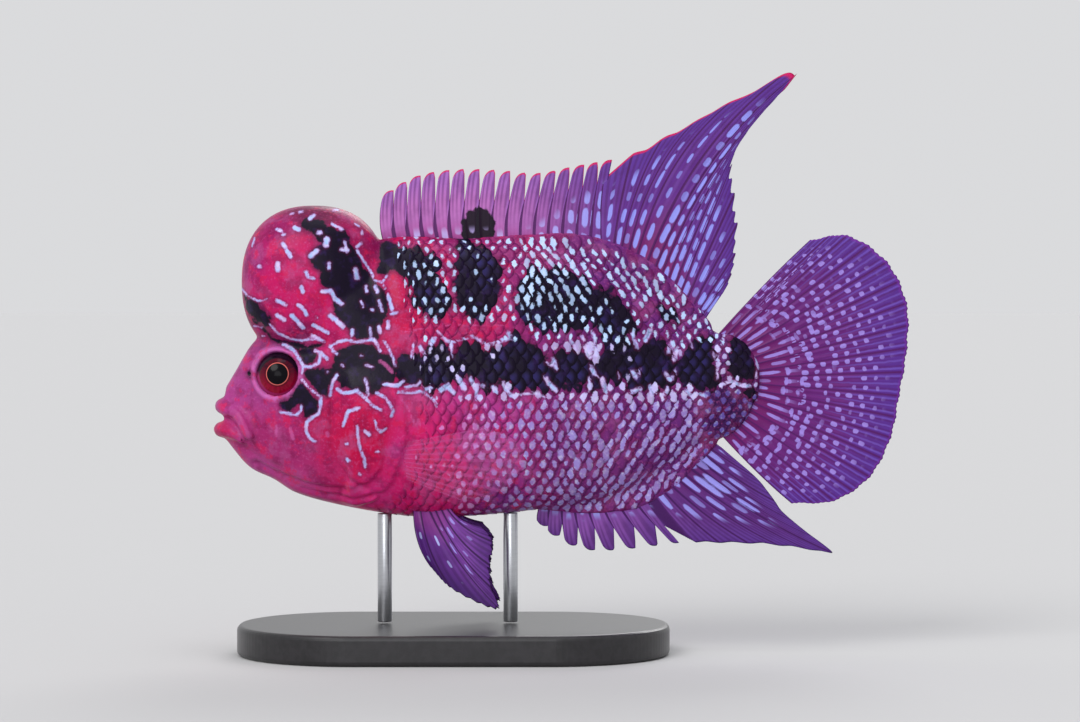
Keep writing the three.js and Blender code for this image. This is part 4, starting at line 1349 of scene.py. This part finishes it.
def cloudy(tree, key):
    size, detail, rough, ramp = markClouds[key]
    return between(tree, cloud(tree, size, detail, None, rough), *ramp)


def ragged(tree, name, *wobbles):
    away = named(tree, name)
    for noise, share in wobbles:
        away = plus(tree, away, times(tree, noise, share))
    return away


# Gives the colour with every mark on it, and the share of it that is pale
def markedTint(tree, colour):
    rag = minus(tree, cloud(tree, 1.3, 5), 0.5)
    fine = minus(tree, cloud(tree, 0.55, 3), 0.5)
    front = between(tree, split(tree, ownPlace(tree))[0], *crimson)
    colour = mixTint(tree, cloudy(tree, "haze"), colour, markLooks["haze"])
    colour = mixTint(tree, cloudy(tree, "mottle"), colour, markLooks["mottle"])
    colour = mixTint(tree, times(tree, cloudy(tree, "bright"), front), colour, markLooks["bright"])
    colour = mixTint(tree, cloudy(tree, "faint"), colour, markLooks["faint"])
    darkAway = ragged(tree, "dark", (rag, 1.9))
    colour = mixTint(tree, between(tree, darkAway, *markEdges["halo"]), colour, markLooks["halo"])
    dark = mixTint(tree, cloudy(tree, "sheen"), markLooks["dark"], markLooks["sheen"])
    colour = mixTint(tree, between(tree, darkAway, *markEdges["dark"]), colour, dark)
    faintAway = ragged(tree, "faint", (fine, 0.5))
    colour = mixTint(tree, between(tree, faintAway, *markEdges["faint"]), colour, markLooks["faint"])
    paleAway = plus(tree, ragged(tree, "pale", (fine, 0.5), (rag, 0.35)), 0.05)
    paleShare = between(tree, paleAway, *markEdges["pale"])
    pale = mixTint(tree, cloudy(tree, "paleBlue"), markLooks["pale"], markLooks["paleBlue"])
    pale = mixTint(tree, between(tree, paleAway, *markEdges["soft"]), pale, markLooks["soft"])
    colour = mixTint(tree, between(tree, paleAway, *markEdges["paleHalo"]), colour, markLooks["halo"])
    return mixTint(tree, times(tree, paleShare, cloudy(tree, "wear")), colour, pale), paleShare


def skinMaterial():
    material, tree, shader = newMaterial("wetSkin")
    colour, paleShare = markedTint(tree, named(tree, "zone", "Color"))
    plug(tree, shader.inputs["Base Color"], colour)
    wet(shader, 0.4, 0.2, 0.1)
    bump = bumped(tree, cloud(tree, 1.0, 6), 0.12, 0.7)
    bump = bumped(tree, cloud(tree, 0.25, 2), 0.015, 0.5, bump)
    bump = bumped(tree, paleShare, 0.03, 0.6, bump)
    plug(tree, shader.inputs["Normal"], bump)
    return material


scaleLooks = {
    # The last colour on the next line is a painted sheen: blue-violet, for the middles of dark scales
    "rim": (70, 12, 76), "shine": (240, 244, 255), "paintedSheen": (60, 52, 130),
    # a pearl sits on the open rear part of its scale, turned and shifted by chance
    "pearlBack": 0.47, "pearlStray": 0.22, "pearlTurn": 0.95, "pearlLong": 0.5, "pearlHigh": 0.42,
    "ragged": 1.35,
}


def scaleMaterial():
    material, tree, shader = newMaterial("scaleSkin")
    onScale = split(tree, named(tree, "onScale", "Vector"))
    pearl = split(tree, named(tree, "pearl", "Vector"))
    shift = times(tree, minus(tree, onScale[2], 0.5), scaleLooks["pearlStray"])
    lean = times(tree, minus(tree, pearl[2], 0.5), scaleLooks["pearlTurn"])
    back = minus(tree, plus(tree, onScale[0], shift), scaleLooks["pearlBack"])
    long = over(tree, plus(tree, back, times(tree, onScale[1], lean)), scaleLooks["pearlLong"])
    high = minus(tree, onScale[1], times(tree, back, lean))
    high = over(tree, high, times(tree, pearl[1], scaleLooks["pearlHigh"]))
    wobble = times(tree, minus(tree, cloud(tree, 0.8, 3), 0.5), scaleLooks["ragged"])
    edge = minus(tree, plus(tree, lengthOf(tree, long, high), wobble), pearl[0])
    pearlShare = times(tree, between(tree, edge, 0.12, -0.12), between(tree, pearl[0], 0.01, 0.05))
    rim = lengthOf(tree, onScale[0], onScale[1])
    zone = named(tree, "zone", "Color")
    zone = mixTint(tree, between(tree, rim, 0.55, 1.0, 0.0, 0.44), zone, scaleLooks["rim"])
    colour, paleShare = markedTint(tree, zone)
    shine = between(tree, cloud(tree, 0.7, 2), 0.45, 0.75, 0.0, 0.35)
    tint = mixTint(tree, shine, named(tree, "tint", "Color"), scaleLooks["shine"])
    colour = mixTint(tree, times(tree, pearlShare, between(tree, onScale[2], 0, 1, 0.6, 1.0)), colour, tint)
    # Painted sheen: inside dark patches the middles of scales turn blue-violet in broad cloudy patches, but
    # not on pearls or pale marks
    paintedSheen = times(tree, between(tree, named(tree, "dark"), -0.1, -0.9), between(tree, rim, 0.85, 0.2))
    paintedSheen = times(tree, paintedSheen, minus(tree, 1.0, calc(tree, "MAXIMUM", pearlShare, paleShare)))
    paintedSheen = times(tree, paintedSheen, between(tree, cloud(tree, 7.0, 2), 0.44, 0.62, 0.0, 0.4))
    plug(tree, shader.inputs["Base Color"], mixTint(tree, paintedSheen, colour, scaleLooks["paintedSheen"]))
    wet(shader, 0.38, 0.2, 0.04)
    bump = bumped(tree, cloud(tree, 0.35, 3), 0.02, 0.6)
    bump = bumped(tree, pearlShare, 0.03, 0.6, bump)
    plug(tree, shader.inputs["Normal"], bump)
    return material


# Fins' looks: colours on screen, and dashes by their spacing, length and half width in millimetres. The front
# colours turn into the rear ones between two rays
finLooks = {
    "dorsal": {
        "front": [(162, 66, 140), (184, 110, 184), (164, 102, 186)],
        "rear": [(122, 34, 102), (98, 48, 140), (88, 46, 144)],
        "turn": (7, 18), "line": (70, 16, 84), "lineWidth": (0.2, 0.34),
        "dash": (186, 168, 228), "dashRear": (144, 148, 236),
        "bars": {"spacing": 3.4, "share": 0.84, "half": 0.54, "from": -0.1, "to": (0.34, 0.88), "wide": 99},
        "rim": (206, 18, 84), "rimFrom": 0.968, "rimTo": 22.5,
        "patch": {"x": -13.9, "z": 70.6, "wide": 2.7, "high": 3.7, "tint": (12, 2, 20)},
    },
    "anal": {
        "front": [(126, 52, 130), (136, 78, 166), (102, 54, 138)],
        "rear": [(98, 34, 106), (92, 42, 122), (90, 50, 138)],
        "turn": (4, 11), "line": (62, 16, 84), "lineWidth": (0.2, 0.34),
        "dash": (150, 150, 226), "dashRear": (150, 146, 230),
        "bars": {"spacing": 6.2, "share": 0.95, "half": 0.6, "from": -0.1, "to": (0.5, 0.72), "wide": 99},
        "rim": (60, 28, 100), "rimFrom": 0.97, "rimTo": 99,
    },
    "caudal": {
        "front": [(108, 24, 98), (100, 32, 114), (84, 42, 136)],
        "rear": [(108, 24, 98), (100, 32, 114), (84, 42, 136)],
        "turn": (0, 18), "line": (78, 18, 92), "lineWidth": (0.2, 0.2),
        "dash": (152, 128, 212), "dashRear": (152, 128, 212),
        "bars": {
            "spacing": 2.0, "share": 0.5, "half": 0.4, "from": 0.24, "to": (0.94, 0.94), "wide": 1.9,
            "rare": 0.16,
        },
        "cross": {
            "spacing": 2.6, "share": 0.26, "half": 0.7, "from": 0.2, "to": (0.6, 0.6), "wide": 99,
            "rare": 0.5,
        },
        "streaks": {"spacing": 4.6, "share": 0.84, "half": 0.3, "from": -0.1, "to": (0.38, 0.38), "wide": 99},
        "rim": (112, 44, 150), "rimFrom": 0.975, "rimTo": 99, "striae": (112, 84, 188),
    },
    "pelvic": {
        "front": [(124, 50, 130), (76, 32, 112), (54, 24, 88)],
        "rear": [(136, 58, 142), (124, 66, 160), (96, 50, 134)],
        "turn": (0.6, 3), "line": (50, 14, 70), "lineWidth": (0.26, 0.26),
        "dash": (176, 190, 240), "dashRear": (156, 140, 222),
        "bars": {"spacing": 4.4, "share": 0.5, "half": 0.24, "from": 0.2, "to": (0.8, 0.8), "wide": 99},
        "rim": (40, 14, 52), "rimFrom": 0.98, "rimTo": 99,
    },
}


def chance(tree, value, other=0.0):
    node = tree.nodes.new("ShaderNodeTexWhiteNoise")
    node.noise_dimensions = "2D"
    plug(tree, node.inputs["Vector"], together(tree, value, other))
    return node.outputs["Value"]


def offMiddle(tree, value):
    return calc(tree, "ABSOLUTE", minus(tree, calc(tree, "FRACT", value), 0.5))


# How dashes set in and end along a ray, fade in narrow lanes, and vary in length, strength and edge
dashRamps = {
    "long": (0.0, 1.0, 0.55, 1.15), "start": 0.08, "stop": (0.0, -0.14), "narrow": (0.45, 0.85),
    "fade": (0.0, 0.5, 0.5, 0.95), "edge": (1.3, 0.5), "rare": 0.04,
}


# Rows of dashes between the rays, two abreast where a lane is wide
def dashes(tree, ray, lane, length, share, bars, turned):
    doubled = between(tree, lane, bars["wide"] - 0.01, bars["wide"] + 0.01)
    count = plus(tree, calc(tree, "ROUND", doubled), 1.0)
    across = times(tree, ray, count)
    own = calc(tree, "FLOOR", across)
    offLane = times(tree, offMiddle(tree, across), over(tree, lane, count))
    step = plus(tree, over(tree, length, bars["spacing"]), times(tree, chance(tree, own), 5.0))
    luck = chance(tree, own, calc(tree, "FLOOR", step))
    long = times(tree, between(tree, luck, *dashRamps["long"]), bars["share"] * 0.5)
    alongDash = over(tree, offMiddle(tree, step), long)
    acrossDash = over(tree, offLane, bars["half"])
    reach = plus(tree, calc(tree, "POWER", alongDash, 4.0), calc(tree, "POWER", acrossDash, 2.0))
    last = between(tree, turned, 0.0, 1.0, *bars["to"])
    shown = between(tree, share, bars["from"], bars["from"] + dashRamps["start"])
    shown = times(tree, shown, between(tree, minus(tree, share, last), *dashRamps["stop"]))
    shown = times(tree, shown, between(tree, lane, *dashRamps["narrow"]))
    shown = times(tree, shown, between(tree, luck, *dashRamps["fade"]))
    if "rare" in bars:
        low, high = bars["rare"] - dashRamps["rare"], bars["rare"] + dashRamps["rare"]
        shown = times(tree, shown, between(tree, luck, low, high))
    return times(tree, between(tree, reach, *dashRamps["edge"]), shown)


# From root to edge as a share of the ray, or across from ray to ray: where each change begins and ends
finRamps = {
    "middle": (0.12, 0.45), "outer": (0.55, 0.98), "shade": (0.4, 0.75, 0.0, 0.3),
    "ray": (1.0, 0.4), "rayLane": (0.25, 0.8, 0.4, 0.9),
    "fine": (0.14, 0.4), "fineOut": (0.3, 0.75, 0.1, 0.6), "fineLane": (0.7, 1.5),
    "striae": (0.22, 0.05), "striaeOut": (0.4, 0.8, 0.0, 0.55), "patch": (1.1, 0.95, 0.0, 0.98),
}


def patchReach(tree, patch, sway):
    place = split(tree, ownPlace(tree))
    ahead = over(tree, minus(tree, place[0], patch["x"] * mm), patch["wide"] * mm)
    up = over(tree, minus(tree, place[2], patch["z"] * mm), patch["high"] * mm)
    return plus(tree, lengthOf(tree, ahead, up), times(tree, sway, 0.9))


def finMaterial(name, look):
    material, tree, shader = newMaterial(name)
    onFin = split(tree, named(tree, "onFin", "Vector"))
    ray, length, share = onFin[0], onFin[1], onFin[2]
    lane = named(tree, "lane")
    turned = between(tree, ray, *look["turn"])
    tints = [mixTint(tree, turned, first, second) for first, second in zip(look["front"], look["rear"])]
    colour = mixTint(tree, between(tree, share, *finRamps["middle"]), tints[0], tints[1])
    colour = mixTint(tree, between(tree, share, *finRamps["outer"]), colour, tints[2])
    colour = mixTint(tree, between(tree, cloud(tree, 3.0, 5), *finRamps["shade"]), colour, look["line"])
    sway = times(tree, minus(tree, cloud(tree, 1.4, 3), 0.5), 0.9)
    offRay = times(tree, offMiddle(tree, plus(tree, ray, 0.5)), lane)
    wander = plus(tree, offRay, times(tree, sway, 0.12))
    width = between(tree, turned, 0.0, 1.0, *look["lineWidth"])
    rayLine = between(tree, over(tree, wander, width), *finRamps["ray"])
    fineLine = between(tree, offMiddle(tree, times(tree, ray, 4.0)), *finRamps["fine"])
    fineLine = times(tree, fineLine, between(tree, share, *finRamps["fineOut"]))
    fineLine = times(tree, fineLine, between(tree, lane, *finRamps["fineLane"]))
    colour = mixTint(tree, times(tree, fineLine, 0.75), colour, look["line"])
    lineFade = between(tree, lane, *finRamps["rayLane"])
    colour = mixTint(tree, times(tree, rayLine, lineFade), colour, look["line"])
    swayed = plus(tree, ray, over(tree, times(tree, sway, 0.3), calc(tree, "MAXIMUM", lane, 0.3)))
    dashTint = mixTint(tree, turned, look["dash"], look["dashRear"])
    if "striae" in look:
        bright = between(tree, offMiddle(tree, times(tree, swayed, 3.0)), *finRamps["striae"])
        bright = times(tree, bright, between(tree, share, *finRamps["striaeOut"]))
        colour = mixTint(tree, bright, colour, look["striae"])
    if "patch" in look:
        reach = patchReach(tree, look["patch"], sway)
        colour = mixTint(tree, between(tree, reach, *finRamps["patch"]), colour, look["patch"]["tint"])
    for kind in ("bars", "cross", "streaks"):
        if kind in look:
            shown = dashes(tree, swayed, lane, plus(tree, length, sway), share, look[kind], turned)
            colour = mixTint(tree, shown, colour, dashTint)
    edge = plus(tree, share, times(tree, sway, 0.01))
    rim = between(tree, edge, look["rimFrom"], look["rimFrom"] + 0.02, 0, 0.85)
    rim = times(tree, rim, between(tree, ray, look["rimTo"] + 0.5, look["rimTo"] - 0.5))
    colour = mixTint(tree, rim, colour, look["rim"])
    plug(tree, shader.inputs["Base Color"], colour)
    wet(shader, 0.42, 0.3)
    joints = times(tree, calc(tree, "PINGPONG", over(tree, length, 0.45), 0.5), rayLine)
    bump = bumped(tree, joints, 0.04, 0.4)
    bump = bumped(tree, fineLine, 0.05, 0.5, bump)
    plug(tree, shader.inputs["Normal"], bump)
    return material


def clearFinMaterial():
    material, tree, shader = newMaterial("clearFin")
    onFin = split(tree, named(tree, "onFin", "Vector"))
    rayLine = between(tree, offMiddle(tree, plus(tree, onFin[0], 0.5)), 0.24, 0.1)
    colour = mixTint(tree, rayLine, (222, 150, 210), (206, 104, 176))
    plug(tree, shader.inputs["Base Color"], colour)
    plug(tree, shader.inputs["Alpha"], between(tree, rayLine, 0.0, 1.0, 0.03, 0.15))
    wet(shader, 0.4, 0.05)
    return material


eyeLooks = {
    "irisLow": (146, 2, 46), "irisHigh": (50, 2, 28), "streak": (104, 0, 24), "inner": (58, 2, 20),
    "outer": (22, 8, 24), "under": (150, 40, 96), "ring": (226, 112, 104), "pupil": (5, 2, 8),
}


def eyeMaterial():
    material, tree, shader = newMaterial("eyeBall")
    spot = split(tree, named(tree, "onEye", "Vector"))
    reach = lengthOf(tree, spot[0], spot[2])
    angle = calc(tree, "ARCTAN2", spot[2], spot[0])
    turned = together(tree, times(tree, angle, 3.0), times(tree, reach, 0.35))
    streak = between(tree, cloud(tree, 0.5, 4, turned), 0.4, 0.65, 0.0, 0.5)
    colour = mixTint(tree, between(tree, spot[2], -2.6, 1.6), eyeLooks["irisLow"], eyeLooks["irisHigh"])
    colour = mixTint(tree, streak, colour, eyeLooks["streak"])
    colour = mixTint(tree, between(tree, reach, 2.3, 1.9, 0.0, 0.8), colour, eyeLooks["inner"])
    crescent = plus(tree, reach, times(tree, spot[2], 0.2))
    colour = mixTint(tree, between(tree, crescent, 3.0, 3.25), colour, eyeLooks["outer"])
    low = times(tree, between(tree, reach, 3.0, 3.3), between(tree, spot[2], 0.8, -0.6))
    colour = mixTint(tree, low, colour, eyeLooks["under"])
    ring = times(tree, between(tree, reach, 1.7, 1.76), between(tree, reach, 1.92, 1.84))
    colour = mixTint(tree, times(tree, ring, 0.85), colour, eyeLooks["ring"])
    pupil = between(tree, reach, eye["pupil"] + 0.02, eye["pupil"] - 0.03)
    plug(tree, shader.inputs["Base Color"], mixTint(tree, pupil, colour, eyeLooks["pupil"]))
    wet(shader, 0.18, 0.14)
    shader.inputs["Coat Roughness"].default_value = 0.04
    return material


def paleFloor():
    material, _, shader = newMaterial("paleFloor")
    shader.inputs["Base Color"].default_value = (0.515, 0.515, 0.518, 1)
    shader.inputs["Roughness"].default_value = 0.95
    shader.inputs["Specular IOR Level"].default_value = 0.05
    return material


def standMaterial():
    material, tree, shader = newMaterial("standLacquer")
    grain = between(tree, cloud(tree, 1.2, 3), 0.3, 0.7)
    plug(tree, shader.inputs["Base Color"], mixTint(tree, grain, (26, 25, 27), (36, 34, 37)))
    shader.inputs["Roughness"].default_value = 0.32
    plug(tree, shader.inputs["Normal"], bumped(tree, cloud(tree, 0.3, 3), 0.01, 0.4))
    return material


def rodMaterial():
    material, tree, shader = newMaterial("rodSteel")
    stretch = tree.nodes.new("ShaderNodeMapping")
    plug(tree, stretch.inputs["Vector"], ownPlace(tree))
    stretch.inputs["Scale"].default_value = (1, 1, 14)
    brushed = cloud(tree, 0.002, 3, stretch.outputs[0])
    plug(tree, shader.inputs["Base Color"], mixTint(tree, brushed, (176, 178, 182), (206, 208, 212)))
    shader.inputs["Metallic"].default_value = 1.0
    shader.inputs["Roughness"].default_value = 0.28
    return material


# Making of the model
placeCamera()
lightStudio()
layFloor()
print("camera, light and floor placed")

skin = buildSkin()
markSkin(skin)
skinMesh = bmesh.new()
skinMesh.from_mesh(skin.data)
skinTree = BVHTree.FromBMesh(skinMesh)
skinMesh.free()
print("skin joined:", len(skin.data.polygons), "faces")

scaleLook = scaleMaterial()
for side in (-1, 1):
    coat = buildScales(side, skinTree, scaleLook)
    coat.data.transform(Matrix.Scale(mm, 4))
    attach(coat, "root")
    print("scales set:", len(coat.data.polygons), "faces")

skin.data.transform(Matrix.Scale(mm, 4))
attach(skin, "root")
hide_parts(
    "head", "nuchal_hump", "upper_jaw", "lower_jaw", "trunk", "tail_base",
    "gill_cover_left", "gill_cover_right",
)

buildEyes()
print("eyes set")
buildFins()
print("fins spread")
buildStand()
print("stand built")
